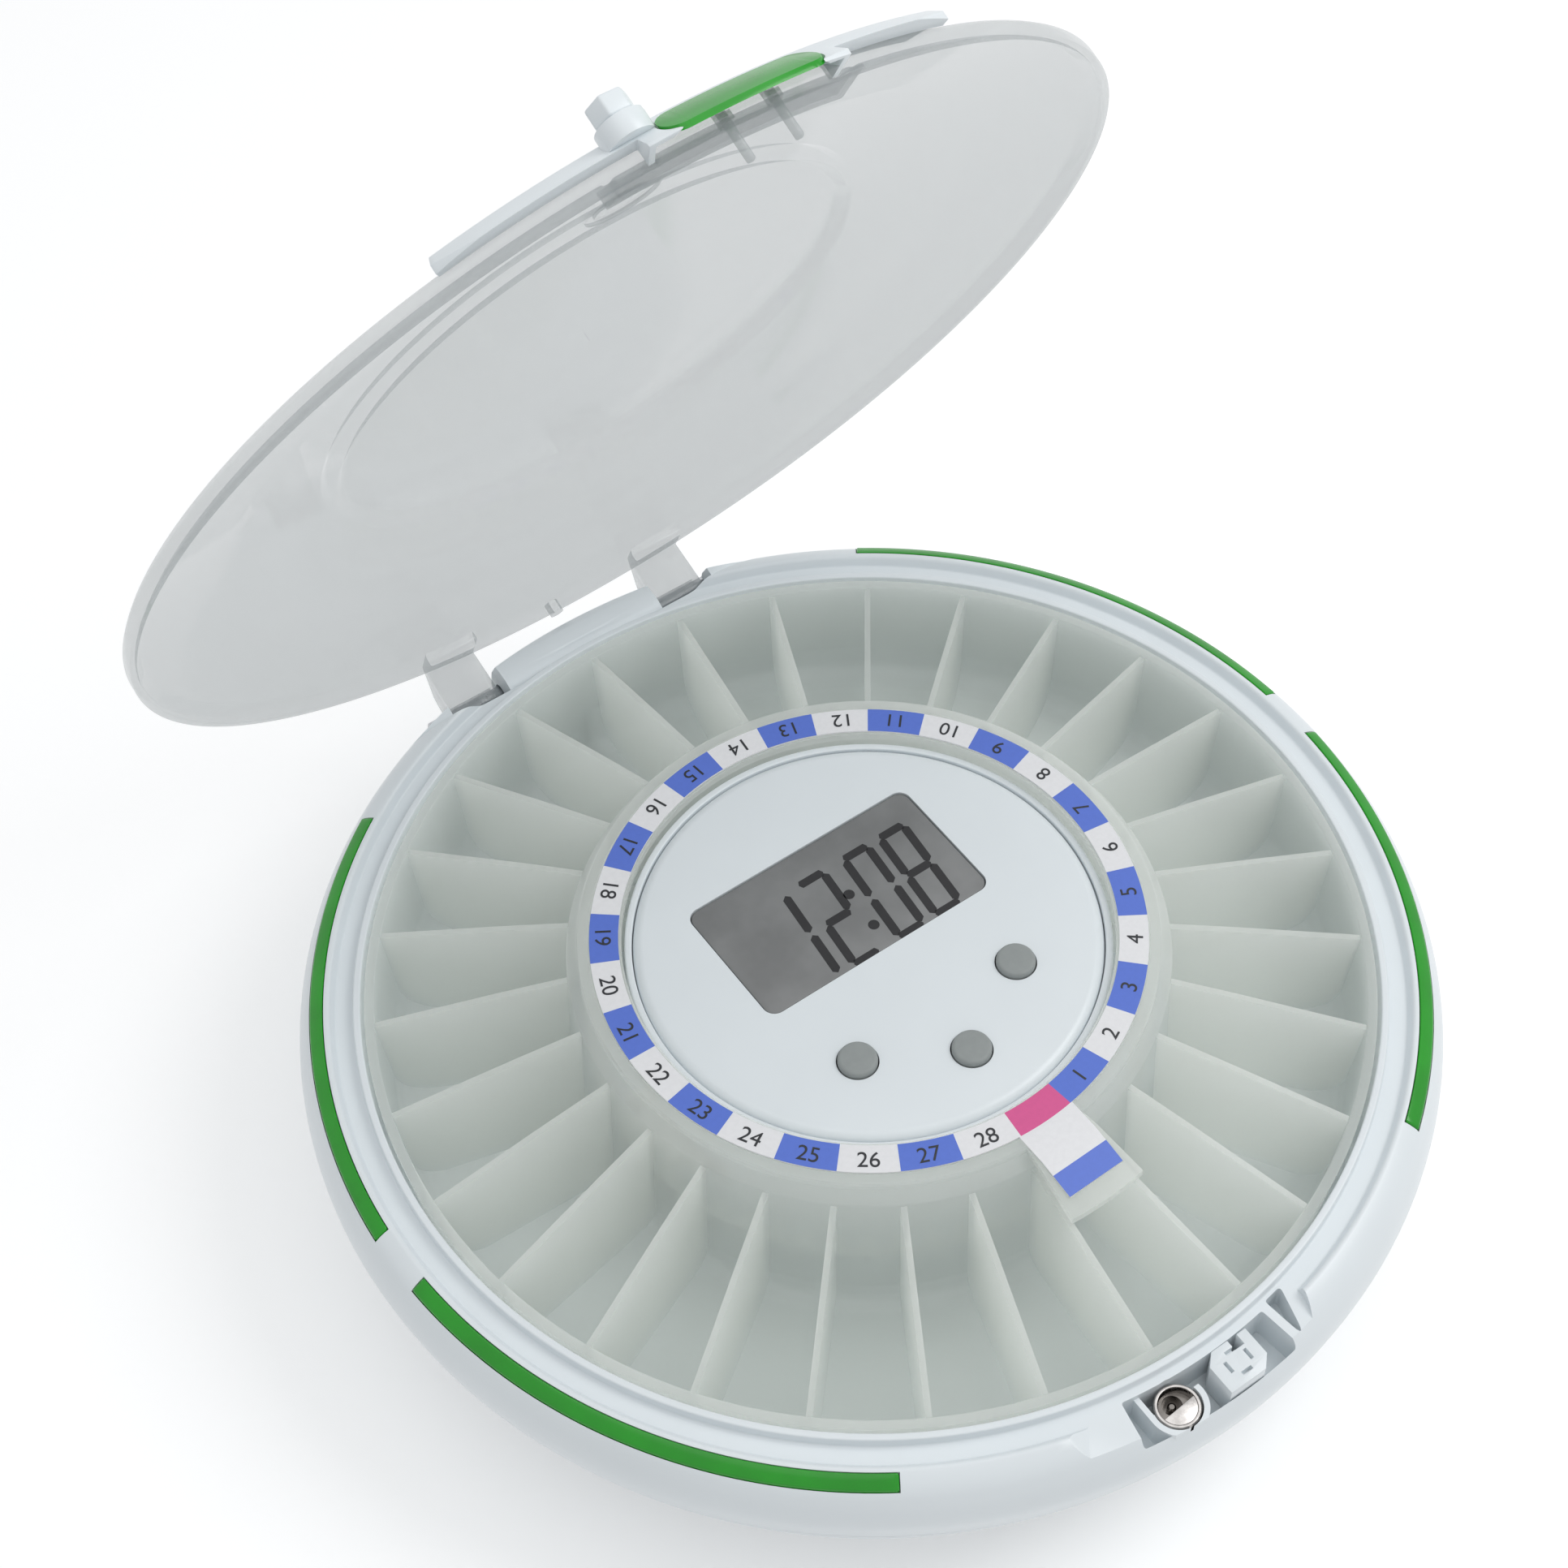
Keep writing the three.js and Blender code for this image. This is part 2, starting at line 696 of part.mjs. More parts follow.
function upperHousing() {
  const envelope = shellEnvelope();
  let body = join(upperShell(), restPads(), frontPocket(envelope), hingeBar(envelope));
  body = cut(body, recessCut(), hingeSweep(), armSlot(-1), armSlot(1));
  body = body.add(lockCollar());
  for (const [, from, to] of stripRanges) body = body.subtract(stripGroove(from, to, seatGap));
  for (const side of [-1, 1]) {
    const [from, to] = pinSpan(side);
    body = body.subtract(rod(hingePinRadius + seatGap, from - seatGap, to + seatGap, hingeY, hingeZ, tinyFacets));
  }
  for (const [x, y] of screwPlaces()) {
    body = body.add(disc(screwBossRadius, screwBossLow, wellFloorLow + bite, x, y, tinyFacets));
    body = body.subtract(disc(screwRadius + seatGap, screwBossLow - overrun, wellFloorLow, x, y, tinyFacets));
  }
  const half = toothAddendum + pinionPitch + pinionWindowGap;
  body = body.subtract(block(
    -towerRadius - overrun, pinionX, -half, half,
    pinionLow - pinionWindowGap, pinionLow + pinionHeight + pinionWindowGap,
  ));
  const lockFloorLow = recessFloorHeight - recessFloorThickness - overrun;
  return cut(
    body,
    disc(collarInner, recessFloorHeight, shoulderHeight, lockX, lockY),
    disc(lockStemRadius + slideGap, lockFloorLow, recessFloorHeight + overrun, lockX, lockY, tinyFacets),
  );
}

// Lower housing: a bowl with the cell bay and the posts of the chassis plate
const cellPitch = 2 * cellRadius + seatGap;
const cellsHalfWidth = (cellCount * cellPitch) / 2;
const contactY = cellLength / 2 + seatGap;
const bayEndY = contactY + contactThickness + seatGap;
const bayOpeningY = bayEndY - seatGap;
const bayOpeningX = cellsHalfWidth + seatGap;
const doorHalfX = bayOpeningX + doorLip;
const doorHalfY = bayOpeningY + doorLip;
const cellMiddle = cellLow + cellRadius;
const bayWallTop = chassisLow - 2 * seatGap;
const footPlaces = [0, 1, 2, 3].map((k) => around(footCircleRadius, (k * Math.PI) / 2));
const doorScrewX = doorHalfX + screwHeadRadius + doorLip;

function lowerHousing() {
  const high = partingHeight - seatGap;
  let body = revolve([
    [0, footHeight],
    [floorRadius, footHeight],
    [(floorRadius + bellyRadius) / 2, footHeight + bellyShare * (bellyHeight - footHeight)],
    [bellyRadius, bellyHeight],
    [lowerLipRadius, lowerLipHeight],
    [partingRadius, high],
    [partingRadius - shellWall, high],
    [bellyRadius - shellWall, bellyHeight + shellWall / 2],
    [floorRadius, floorTop],
    [0, floorTop],
  ], bowlFacets);
  for (const side of [-1, 1]) {
    const [nearY, farY] = side > 0 ? [bayEndY, bayEndY + bayWall] : [-bayEndY - bayWall, -bayEndY];
    body = body.add(block(-contactWidth / 2, contactWidth / 2, nearY, farY, floorTop - bite, bayWallTop));
    const [nearX, farX] = side > 0 ? [bayOpeningX, bayOpeningX + bayWall] : [-bayOpeningX - bayWall, -bayOpeningX];
    body = body.add(block(nearX, farX, -bayWallWidth / 2, bayWallWidth / 2, floorTop - bite, cellMiddle));
    for (const front of [-1, 1]) {
      body = body.add(disc(postRadius, floorTop - bite, chassisLow - seatGap, side * postX, front * postY, tinyFacets));
    }
  }
  const openLow = footHeight - overrun;
  body = cut(
    body,
    block(-bayOpeningX, bayOpeningX, -bayOpeningY, bayOpeningY, openLow, floorTop + overrun),
    block(-doorHalfX, doorHalfX, -doorHalfY, doorHalfY, openLow, footHeight + doorThickness + seatGap),
  );
  for (const [x, y] of screwPlaces()) {
    body = body.subtract(disc(screwHeadRadius + seatGap, openLow, footHeight + screwHeadHeight + seatGap, x, y, tinyFacets));
    body = body.subtract(disc(screwRadius + seatGap, openLow, floorTop + overrun, x, y, tinyFacets));
  }
  return body;
}

// Tray: a revolved trough with a radial divider between compartments and inner teeth below its neck
const trayUnder = trayFloorTop - trayFloorThickness;
const trayInnerWall = trayInnerRadius - trayWall * 2;
const trayOuterFoot = trayRadius - trayRimWidth - trayDraft;

function trayTrough() {
  const filletMiddle = 0.29;
  return revolve([
    [flangeInnerRadius, flangeHeight - flangeThickness],
    [flangeInnerRadius, flangeHeight],
    [flangeRadius, flangeHeight],
    [trayNeckRadius, trayNeckHeight],
    [trayInnerRadius, trayFloorTop + trayInnerFillet],
    [trayInnerRadius + trayInnerFillet, trayFloorTop],
    [trayOuterFoot - trayOuterFillet, trayFloorTop],
    [trayOuterFoot - filletMiddle * trayOuterFillet, trayFloorTop + filletMiddle * trayOuterFillet],
    [trayOuterFoot, trayFloorTop + trayOuterFillet],
    [trayRadius - trayRimWidth, trayRimHeight],
    [trayRadius, trayRimHeight],
    [trayOuterFoot + trayWall, trayFloorTop + trayOuterFillet],
    [trayOuterFoot - trayOuterFillet + trayWall, trayUnder],
    [trayInnerWall, trayUnder],
    [flangeRadius - trayWall, flangeHeight - flangeThickness],
  ]);
}

function divider(angle, coverRadius) {
  const inset = trayFloorThickness / 2;
  const points = [
    [trayInnerRadius - trayWall, trayUnder + inset],
    [trayOuterFoot - trayOuterFillet, trayUnder + inset],
    [trayOuterFoot, trayUnder + inset + trayOuterFillet],
    [trayRadius - trayRimWidth + inset, trayRimHeight - inset],
  ];
  if (coverRadius) {
    const high = flangeHeight - inset;
    points.push([coverRadius, high - homeCoverFall], [homeCoverBend, high], [trayNeckRadius - inset, high]);
  } else {
    points.push([trayNeckRadius - inset, dividerInnerHeight]);
  }
  return radialPlate(points, dividerThickness, angle);
}

// Teeth between two radii: the flanks narrow from the root to the tip
function toothOutline(teeth, pitch, tip, root, phase) {
  const points = [];
  const direction = Math.sign(root - tip);
  const halfAt = (radius) => toothThickness / 2 + direction * toothFlank * (radius - pitch);
  for (let k = 0; k < teeth; k += 1) {
    const middle = phase + (2 * Math.PI * k) / teeth;
    const corners = [[root, -1], [tip, -1], [tip, 1], [root, 1]];
    for (const [radius, side] of corners) {
      const angle = middle + (side * halfAt(radius)) / pitch;
      points.push([radius * Math.cos(angle), radius * Math.sin(angle)]);
    }
  }
  return points;
}

function ringGear() {
  const phase = Math.PI + Math.PI / ringTeeth;
  const teeth = toothOutline(
    ringTeeth, gearRatioPitch, gearRatioPitch - toothAddendum, gearRatioPitch + toothDedendum, phase,
  );
  const shape = new THREE.Shape();
  const outer = trayInnerWall + trayWall;
  for (let k = 0; k < compartmentCount; k += 1) {
    const [x, y] = around(outer, k * sector);
    if (k === 0) shape.moveTo(x, y);
    else shape.lineTo(x, y);
  }
  shape.holes.push(new THREE.Path(teeth.map(([x, y]) => new THREE.Vector2(x, y))));
  return prism(shape, trayUnder + glueLine, trayUnder + ringGearHeight);
}

// Cover over the home compartment: level at the neck, then falling with the lid's dome
function homeCover() {
  const low = flangeHeight - flangeThickness;
  const plate = revolve([
    [flangeRadius - bite, low],
    [homeCoverBend, low],
    [homeCoverRadius, low - homeCoverFall],
    [homeCoverRadius, flangeHeight - homeCoverFall],
    [homeCoverBend, flangeHeight],
    [flangeRadius - bite, flangeHeight],
  ]);
  const half = sector / 2;
  return plate.intersect(ringSector(towerRadius, trayRadius, -half, half, low - homeCoverFall, flangeHeight, 2));
}

function medicineTray() {
  let body = join(trayTrough(), ringGear());
  for (let k = 0; k < compartmentCount; k += 1) {
    const besideHome = k === 0 || k === compartmentCount - 1;
    body = body.add(divider((k + 0.5) * sector, besideHome ? homeCoverRadius : 0));
  }
  return body.add(homeCover()).rotate([0, 0, trayRestAngle / degree]);
}

function labelRing() {
  const low = flangeHeight + glueLine;
  const high = low + labelThickness;
  const profile = [[labelInnerRadius, low], [labelRadius, low], [labelRadius, high], [labelInnerRadius, high]];
  const fall = (homeCoverFall * (labelTabRadius - homeCoverBend)) / (homeCoverRadius - homeCoverBend);
  const tab = sidePlate([
    [-labelRadius + bite, low],
    [-homeCoverBend, low],
    [-labelTabRadius, low - fall],
    [-labelTabRadius, high - fall],
    [-homeCoverBend, high],
    [-labelRadius + bite, high],
  ], 2 * labelTabHalfWidth, 0);
  return revolve(profile).add(tab).rotate([0, 0, trayRestAngle / degree]);
}

function drivePinion() {
  const outlinePoints = toothOutline(
    pinionTeeth, pinionPitch, pinionPitch + toothAddendum, pinionPitch - toothDedendum, Math.PI,
  );
  const gear = prism(outline(outlinePoints), pinionLow, pinionLow + pinionHeight);
  const shaftLow = chassisLow + chassisThickness + seatGap;
  const shaft = disc(pinionShaftRadius, shaftLow, gearboxLow - seatGap, 0, 0, tinyFacets);
  const turn = (trayRestAngle * ringTeeth) / pinionTeeth / degree;
  return gear.add(shaft).rotate([0, 0, turn]).translate([pinionX, 0, 0]);
}

// Hub panel with the display opening, the button holes and the bosses that hold the board
const buttonPlaces = [
  ['button_left', -sideButtonX, sideButtonY],
  ['button_middle', 0, middleButtonY],
  ['button_right', sideButtonX, sideButtonY],
];
const panelUnder = ledgeHeight + seatGap;
const boardTop = boardLow + boardThickness;

function hubPanel() {
  let body = revolve([
    [0, panelUnder],
    [panelRadius, panelUnder],
    [panelRadius, panelHeight - panelDrop],
    [panelRadius - panelDrop, panelHeight - panelDrop / 4],
    [0, panelHeight],
  ], bowlFacets);
  for (const side of [-1, 1]) {
    for (const front of [-1, 1]) {
      body = body.add(disc(postRadius, boardTop + seatGap, panelUnder + bite, side * bossX, front * bossY, tinyFacets));
    }
  }
  const opening = roundedRectangle(
    displayWidth + 2 * seatGap, displayDepth + 2 * seatGap, displayCornerRadius + seatGap, 0, displayY,
  );
  body = body.subtract(prism(opening, panelUnder - overrun, panelHeight + overrun));
  for (const [, x, y] of buttonPlaces) {
    body = body.subtract(disc(buttonRadius + slideGap, panelUnder - overrun, panelHeight + overrun, x, y));
  }
  return body;
}

function displayWindow() {
  const shape = roundedRectangle(displayWidth, displayDepth, displayCornerRadius, 0, displayY);
  const high = panelHeight - displayRecess;
  return prism(shape, high - displayThickness, high);
}

function displayModule() {
  const [halfX, halfY] = [moduleWidth / 2, moduleDepth / 2];
  const high = panelUnder - seatGap;
  return block(-halfX, halfX, displayY - halfY, displayY + halfY, boardTop + seatGap, high);
}

function button(x, y) {
  const high = panelHeight + buttonProud;
  const flangeHigh = panelUnder - slideGap;
  const flangeLow = flangeHigh - buttonFlangeHeight;
  return revolve([
    [0, flangeLow],
    [buttonRadius + buttonFlange, flangeLow],
    [buttonRadius + buttonFlange, flangeHigh],
    [buttonRadius, flangeHigh],
    [buttonRadius, high - buttonEdge],
    [buttonRadius - buttonEdge, high],
    [0, high],
  ], smallFacets).translate([x, y, 0]);
}

function mainBoard() {
  let body = disc(boardRadius, boardLow, boardTop, 0, 0, middleFacets);
  for (const [, x, y] of buttonPlaces) {
    const half = switchSide / 2;
    body = body.add(block(x - half, x + half, y - half, y + half, boardTop - bite, boardTop + switchHeight));
  }
  return body;
}

function chassisPlate() {
  return disc(chassisRadius, chassisLow, chassisLow + chassisThickness, 0, 0, middleFacets);
}

function gearbox() {
  const half = gearboxWidth / 2;
  const head = block(gearboxFarX, gearboxNearX, -half, half, gearboxLow, gearboxHigh);
  const leg = block(gearboxLegX, gearboxNearX, -half, half, chassisTop + seatGap, gearboxLow + bite);
  return head.add(leg);
}

const chassisTop = chassisLow + chassisThickness;
const motorZ = gearboxHigh - motorRadius;

function gearMotor() {
  const from = gearboxNearX + seatGap;
  return rod(motorRadius, from, from + motorLength, 0, motorZ);
}

function dryCell(index) {
  const x = (index - (cellCount - 1) / 2) * cellPitch;
  const half = cellLength / 2;
  const body = revolve([
    [0, -half],
    [cellRadius, -half],
    [cellRadius, half - cellNubHeight],
    [cellNubRadius, half - cellNubHeight],
    [cellNubRadius, half],
    [0, half],
  ], smallFacets);
  const turned = index % 2 === 0 ? body.rotate([90, 0, 0]) : body.rotate([-90, 0, 0]);
  return turned.translate([x, 0, cellMiddle]);
}

function contactPlate(side) {
  const [near, far] = side > 0 ? [contactY, contactY + contactThickness] : [-contactY - contactThickness, -contactY];
  return block(-contactWidth / 2, contactWidth / 2, near, far, floorTop, bayWallTop);
}

function batteryDoor() {
  const [halfX, halfY] = [doorHalfX - seatGap, doorHalfY - seatGap];
  return block(-halfX, halfX, -halfY, halfY, footHeight, footHeight + doorThickness);
}

function housingScrew(x, y) {
  const headLow = footHeight;
  const headHigh = headLow + screwHeadHeight;
  const top = headHigh + screwLength;
  return revolve([
    [0, headLow],
    [screwHeadRadius, headLow],
    [screwHeadRadius, headHigh],
    [screwRadius, headHigh],
    [screwRadius, top],
    [0, top],
  ], tinyFacets).translate([x, y, 0]);
}

function lightBoard(from, to) {
  const high = channelUnder - lightBoardDrop + lightBoardThickness;
  return ringSector(
    lightBoardInner, lightBoardInner + lightBoardWidth, from, to, high - lightBoardThickness, high, 8,
  );
}

// Lock cylinder with its half-moon face, keyhole and stem, kept by a clip under the recess floor
const lockLow = recessFloorHeight + seatGap;

function lockCylinder() {
  const low = lockLow - lockStemLength;
  const body = revolve([
    [0, low],
    [lockStemRadius, low],
    [lockStemRadius, lockLow],
    [lockRadius, lockLow],
    [lockRadius, lockHeight],
    [0, lockHeight],
  ], smallFacets);
  const away = lockRadius + overrun;
  const halfMoon = block(-away, away, lockKeyholeRadius / 2, away, lockHeight - lockCutDepth, lockHeight + overrun);
  const keyhole = disc(lockKeyholeRadius, lockHeight - lockKeyholeDepth, lockHeight + overrun, 0, 0, tinyFacets);
  return cut(body, halfMoon, keyhole).translate([lockX, lockY, 0]);
}

function lockClip() {
  const high = recessFloorHeight - recessFloorThickness - seatGap;
  const inner = lockStemRadius + seatGap;
  const profile = [
    [inner, high - clipThickness],
    [inner + clipWall, high - clipThickness],
    [inner + clipWall, high],
    [inner, high],
  ];
  return revolve(profile, tinyFacets).translate([lockX, lockY, 0]);
}

function catchBlock() {
  const half = catchSide / 2;
  const low = recessFloorHeight + seatGap;
  const pocket = catchPocket / 2;
  const body = block(catchX - half, catchX + half, catchY - half, catchY + half, low, catchHeight);
  const front = catchY - half;
  return cut(
    body,
    block(catchX - pocket, catchX + pocket, catchY - pocket, catchY + pocket, catchHeight - catchPocketDepth,
      catchHeight + overrun),
    block(catchX - half - overrun, catchX + half + overrun, front - overrun, front + catchStep,
      catchHeight - catchStepHeight, catchHeight + overrun),
  );
}

// Lid: a clear revolved dome with its rim, raised window, two hinge arms and the bosses inside
function lidDome() {
  const inner = [
    [0, lidTopHeight - lidWall],
    [lidWindowRadius - lidWall, lidWindowHeight - lidWall],
    [lidStepRadius - lidWall, lidStepHeight - lidWall],
    [lidMiddleRadius - lidWall / 2, lidMiddleHeight - lidWall],
    [lidShoulderRadius - lidWall, lidShoulderHeight - lidWall * 0.7],
    [lidRadius - lidRimWall, lidRimLow + lidRimStraight],
    [lidRadius - lidRimWall, lidRimLow],
  ];
  const outer = [
    [lidRadius, lidRimLow],
    [lidRadius, lidRimHigh],
    [lidShoulderRadius, lidShoulderHeight],
    [lidMiddleRadius, lidMiddleHeight],
    [lidStepRadius, lidStepHeight],
    [lidWindowRadius, lidWindowHeight],
    [0, lidTopHeight],
  ];
  return revolve([...inner, ...outer], bowlFacets);
}

function hingeArm(side) {
  const points = [];
  const steps = 5;
  const outerRadius = armKnuckleRadius + armThickness;
  const rimY = Math.sqrt(lidRadius ** 2 - (armX + armWidth / 2) ** 2) - lidWall;
  const topZ = lidRimHigh;
  points.push([rimY, topZ - armThickness * armUnderShare], [rimY, topZ + armThickness / 4]);
  points.push([hingeY - armKnuckleRadius / 2, topZ + armThickness / 4]);
  for (let i = 0; i <= steps; i += 1) {
    const angle = (Math.PI / 3) * (1 - i / steps);
    const reach = armKnuckleRadius + (outerRadius - armKnuckleRadius) * (1 - i / steps);
    points.push([hingeY + reach * Math.cos(angle) * 0.8, hingeZ + reach * Math.sin(angle)]);
  }
  for (let i = 1; i <= 2 * steps; i += 1) {
    const angle = (-Math.PI * i) / (2 * steps);
    points.push([hingeY + armKnuckleRadius * Math.cos(angle), hingeZ + armKnuckleRadius * Math.sin(angle)]);
  }
  points.push([hingeY - armKnuckleRadius * 0.8, topZ - armThickness * armUnderShare]);
  const arm = sidePlate(points, armWidth, side * armX);
  const bore = hingePinRadius + slideGap;
  const reach = armWidth / 2 + overrun;
  return arm.subtract(rod(bore, side * armX - reach, side * armX + reach, hingeY, hingeZ, tinyFacets));
}

// The space under the dome, so that ribs and bosses end at the lid's own wall
function underDome(low) {
  return revolve([
    [0, low],
    [lidShoulderRadius - lidWall / 2, low],
    [lidShoulderRadius - lidWall / 2, lidShoulderHeight - lidWall / 2],
    [lidMiddleRadius, lidMiddleHeight - lidWall / 2],
    [lidStepRadius, lidStepHeight - lidWall / 2],
    [0, lidStepHeight - lidWall / 2],
  ]);
}

// The space lower than a depth under the dome's inner face
function belowDome(depth) {
  return revolve([
    [0, lidRimLow],
    [lidMiddleRadius, lidRimLow],
    [lidMiddleRadius, lidMiddleHeight - lidWall - depth],
    [lidStepRadius - lidWall, lidStepHeight - lidWall - depth],
    [0, lidStepHeight - lidWall - depth],
  ]);
}

function pressRoom() {
  return roundedRectangle(
    pressWidth + 2 * slideGap, pressDepth + 2 * slideGap, pressDepth / 2, pressX, pressY,
  );
}

function lid() {
  const bossHigh = lidStepHeight;
  const boss = cut(
    disc(ringBossRadius, lidShoulderHeight, bossHigh, ringBossX, ringBossY),
    disc(ringBossRadius - ringBossWall, lidShoulderHeight - overrun, bossHigh + overrun, ringBossX, ringBossY),
    belowDome(ringBossDepth),
  );
  const ribLow = lidShoulderHeight - pressRibHeight + bite;
  const rib = ringSector(
    pressRibRadius, pressRibRadius + pressRibWidth, -pressRibHalfAngle, pressRibHalfAngle, ribLow, bossHigh, 6,
  );
  const inside = join(boss, rib).intersect(underDome(ribLow));
  const nub = disc(lidNubRadius, lidRimLow, lidRimHigh, 0, lidRadius + lidNubLength - lidNubRadius, tinyFacets);
  const seat = prism(pressRoom(), lidShoulderHeight, lidTopHeight);
  return join(lidDome().subtract(seat), inside, hingeArm(-1), hingeArm(1), nub);
}

// Front cap: a crescent over the lid's front edge, cut off along a chord, open for the press button
function lidFrontCap() {
  const under = seatGap;
  const reach = capThickness * overrun;
  const domeRise = (reach * (lidMiddleHeight - lidShoulderHeight)) / (lidShoulderRadius - lidMiddleRadius);
  const ring = revolve([
    [lidShoulderRadius - reach, lidShoulderHeight + domeRise + under],
    [lidShoulderRadius, lidShoulderHeight + under],
    [lidRadius + under, lidRimHigh + under],
    [lidRadius + under, capLow],
    [capRadius, capLow],
    [capRadius - capThickness * 0.3, capLow + capThickness * 0.7],
    [lidRadius + capThickness, lidShoulderHeight + capThickness * 0.6],
    [lidShoulderRadius, lidShoulderHeight + capThickness],
    [lidShoulderRadius - reach, lidShoulderHeight + domeRise + capThickness],
  ]);
  const wedge = ringSector(lidMiddleRadius, capRadius + overrun, capFromAngle, capToAngle, capLow - overrun,
    lidTopHeight, 12);
  const front = block(-capRadius, capRadius, -capRadius - overrun, capChordY, capLow - overrun, lidTopHeight);
  return ring.intersect(wedge).intersect(front).subtract(prism(pressRoom(), capLow - overrun, lidTopHeight));
}

const pressHigh = lidShoulderHeight + capThickness + pressProud;
const pressLow = lidShoulderHeight + pressTravel + slideGap;

function pressButton() {
  const plate = prism(roundedRectangle(pressWidth, pressDepth, pressDepth / 2.1, pressX, pressY), pressLow, pressHigh);
  const hooks = [-1, 1].map((side) => {
    const x = catchX + (side * hookSpacing) / 2;
    const [near, far] = [hookY - hookDepth / 2, hookY + hookDepth / 2];
    return block(x - hookThickness / 2, x + hookThickness / 2, near, far, hookLow, pressLow + bite);
  });
  return join(plate, ...hooks);
}

function keyKnob() {
  const low = lidShoulderHeight + capThickness * 1.2 + seatGap;
  return disc(knobRadius, low, low + knobHeight, knobX, knobY, 6);
}

// Catch lever: lies on the well floor under the tray, with a finger behind the tray's wall
function catchLever() {
  const low = wellFloorHeight + seatGap;
  const points = [
    [leverInner, low],
    [leverOuter, low],
    [leverOuter, low + leverFingerHeight],
    [leverOuter - leverFingerThickness, low + leverFingerHeight],
    [leverOuter - leverFingerThickness, low + leverThickness],
    [leverInner + leverToe, low + leverThickness],
  ];
  return radialPlate(points, leverWidth, Math.PI);
}

addPiece('upper_housing', upperHousing(), whiteShell);
addPiece('lower_housing', lowerHousing(), whiteShell);
addPiece('medicine_tray', medicineTray(), trayPlastic);
addPiece('label_ring', labelRing(), labelPaper);
addPiece('drive_pinion', drivePinion(), gearPlastic);
addPiece('hub_panel', hubPanel(), whiteShell);
addPiece('display_window', displayWindow(), displayGrey);
addPiece('display_module', displayModule(), darkPlastic);
addPiece('main_board', mainBoard(), boardGreen);
for (const [name, x, y] of buttonPlaces) addPiece(name, button(x, y), buttonGrey);
for (const [name, from, to] of stripRanges) {
  addPiece(name, stripGroove(from, to, 0), stripGreen);
  addPiece(name.replace('strip', 'board'), lightBoard(from, to), boardGreen);
}
addPiece('chassis_plate', chassisPlate(), darkPlastic);
addPiece('gearbox', gearbox(), gearPlastic);
addPiece('gear_motor', gearMotor(), steel);
for (let k = 0; k < cellCount; k += 1) addPiece(`battery_${k + 1}`, dryCell(k), cellJacket);
addPiece('contact_plate_rear', contactPlate(1), steel);
addPiece('contact_plate_front', contactPlate(-1), steel);
addPiece('battery_door', batteryDoor(), whiteShell);
footPlaces.forEach(([x, y], k) => {
  addPiece(`foot_${k + 1}`, disc(footRadius, 0, footHeight - glueLine, x, y), rubber);
});
screwPlaces().forEach(([x, y], k) => addPiece(`housing_screw_${k + 1}`, housingScrew(x, y), steel));
addPiece('buzzer', disc(buzzerRadius, chassisTop + seatGap, chassisTop + seatGap + buzzerHeight, buzzerX, buzzerY),
  darkPlastic);
addPiece('tray_switch', block(
  -traySwitchWidth / 2, traySwitchWidth / 2, traySwitchY, traySwitchY + traySwitchDepth,
  chassisTop + seatGap, chassisTop + seatGap + traySwitchHeight,
), darkPlastic);
addPiece('lock_cylinder', lockCylinder(), chrome);
addPiece('lock_clip', lockClip(), steel);
addPiece('catch_block', catchBlock(), whiteShell);
addPiece('tray_catch_lever', catchLever(), whiteShell);
for (const [name, side] of [['hinge_pin_left', -1], ['hinge_pin_right', 1]]) {
  const [from, to] = pinSpan(side);
  addPiece(name, rod(hingePinRadius, from, to, hingeY, hingeZ, tinyFacets), steel);
}
addLidPiece('lid', lid(), lidPlastic);
addLidPiece('lid_front_cap', lidFrontCap(), whiteShell);
addLidPiece('press_button', pressButton(), stripGreen);
addLidPiece('key_knob', keyKnob(), whiteShell);

export default pillBox;
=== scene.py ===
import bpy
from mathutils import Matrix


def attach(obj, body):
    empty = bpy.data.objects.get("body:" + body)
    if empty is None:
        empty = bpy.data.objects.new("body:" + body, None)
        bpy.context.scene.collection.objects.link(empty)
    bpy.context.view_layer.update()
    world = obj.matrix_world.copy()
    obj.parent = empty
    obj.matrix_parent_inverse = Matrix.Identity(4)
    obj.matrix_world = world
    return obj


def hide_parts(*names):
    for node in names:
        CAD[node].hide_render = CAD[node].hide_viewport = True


bl_info = {
    "name": "Electronic Pill Box",
    "version": (1, 0, 0),
    "blender": (4, 5, 0),
    "location": "View3D > Sidebar > Pill Box",
    "description": "Dresses the packed model of a round electronic pill box",
    "category": "Object",
}

from math import cos, pi, radians, sin, sqrt, tan, tau

import bmesh
import bpy
from bpy.props import FloatProperty, FloatVectorProperty, IntProperty, PointerProperty
from mathutils import Matrix, Vector

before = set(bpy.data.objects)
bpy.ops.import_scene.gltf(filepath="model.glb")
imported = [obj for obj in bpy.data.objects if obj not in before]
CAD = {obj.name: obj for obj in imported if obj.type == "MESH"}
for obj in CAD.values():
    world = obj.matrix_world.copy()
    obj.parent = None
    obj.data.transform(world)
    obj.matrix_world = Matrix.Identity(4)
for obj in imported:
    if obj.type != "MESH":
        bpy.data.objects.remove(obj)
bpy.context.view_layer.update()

# Sizes in the script are millimetres; one millimetre is this many metres
MM = 0.001

# The tray has 29 places; a full turn of a large round piece is drawn with eight steps for each
PLACES = 29
PLACE_ANGLE = tau / PLACES
STEPS = 8 * PLACES
DOME_STEPS = 4 * PLACES

# Rounding of profiles: steps of a corner, the share of an edge it may take, what counts as no corner
FILLET_STEPS = 5
FILLET_SHARE = 0.49
STRAIGHT = radians(88.5)

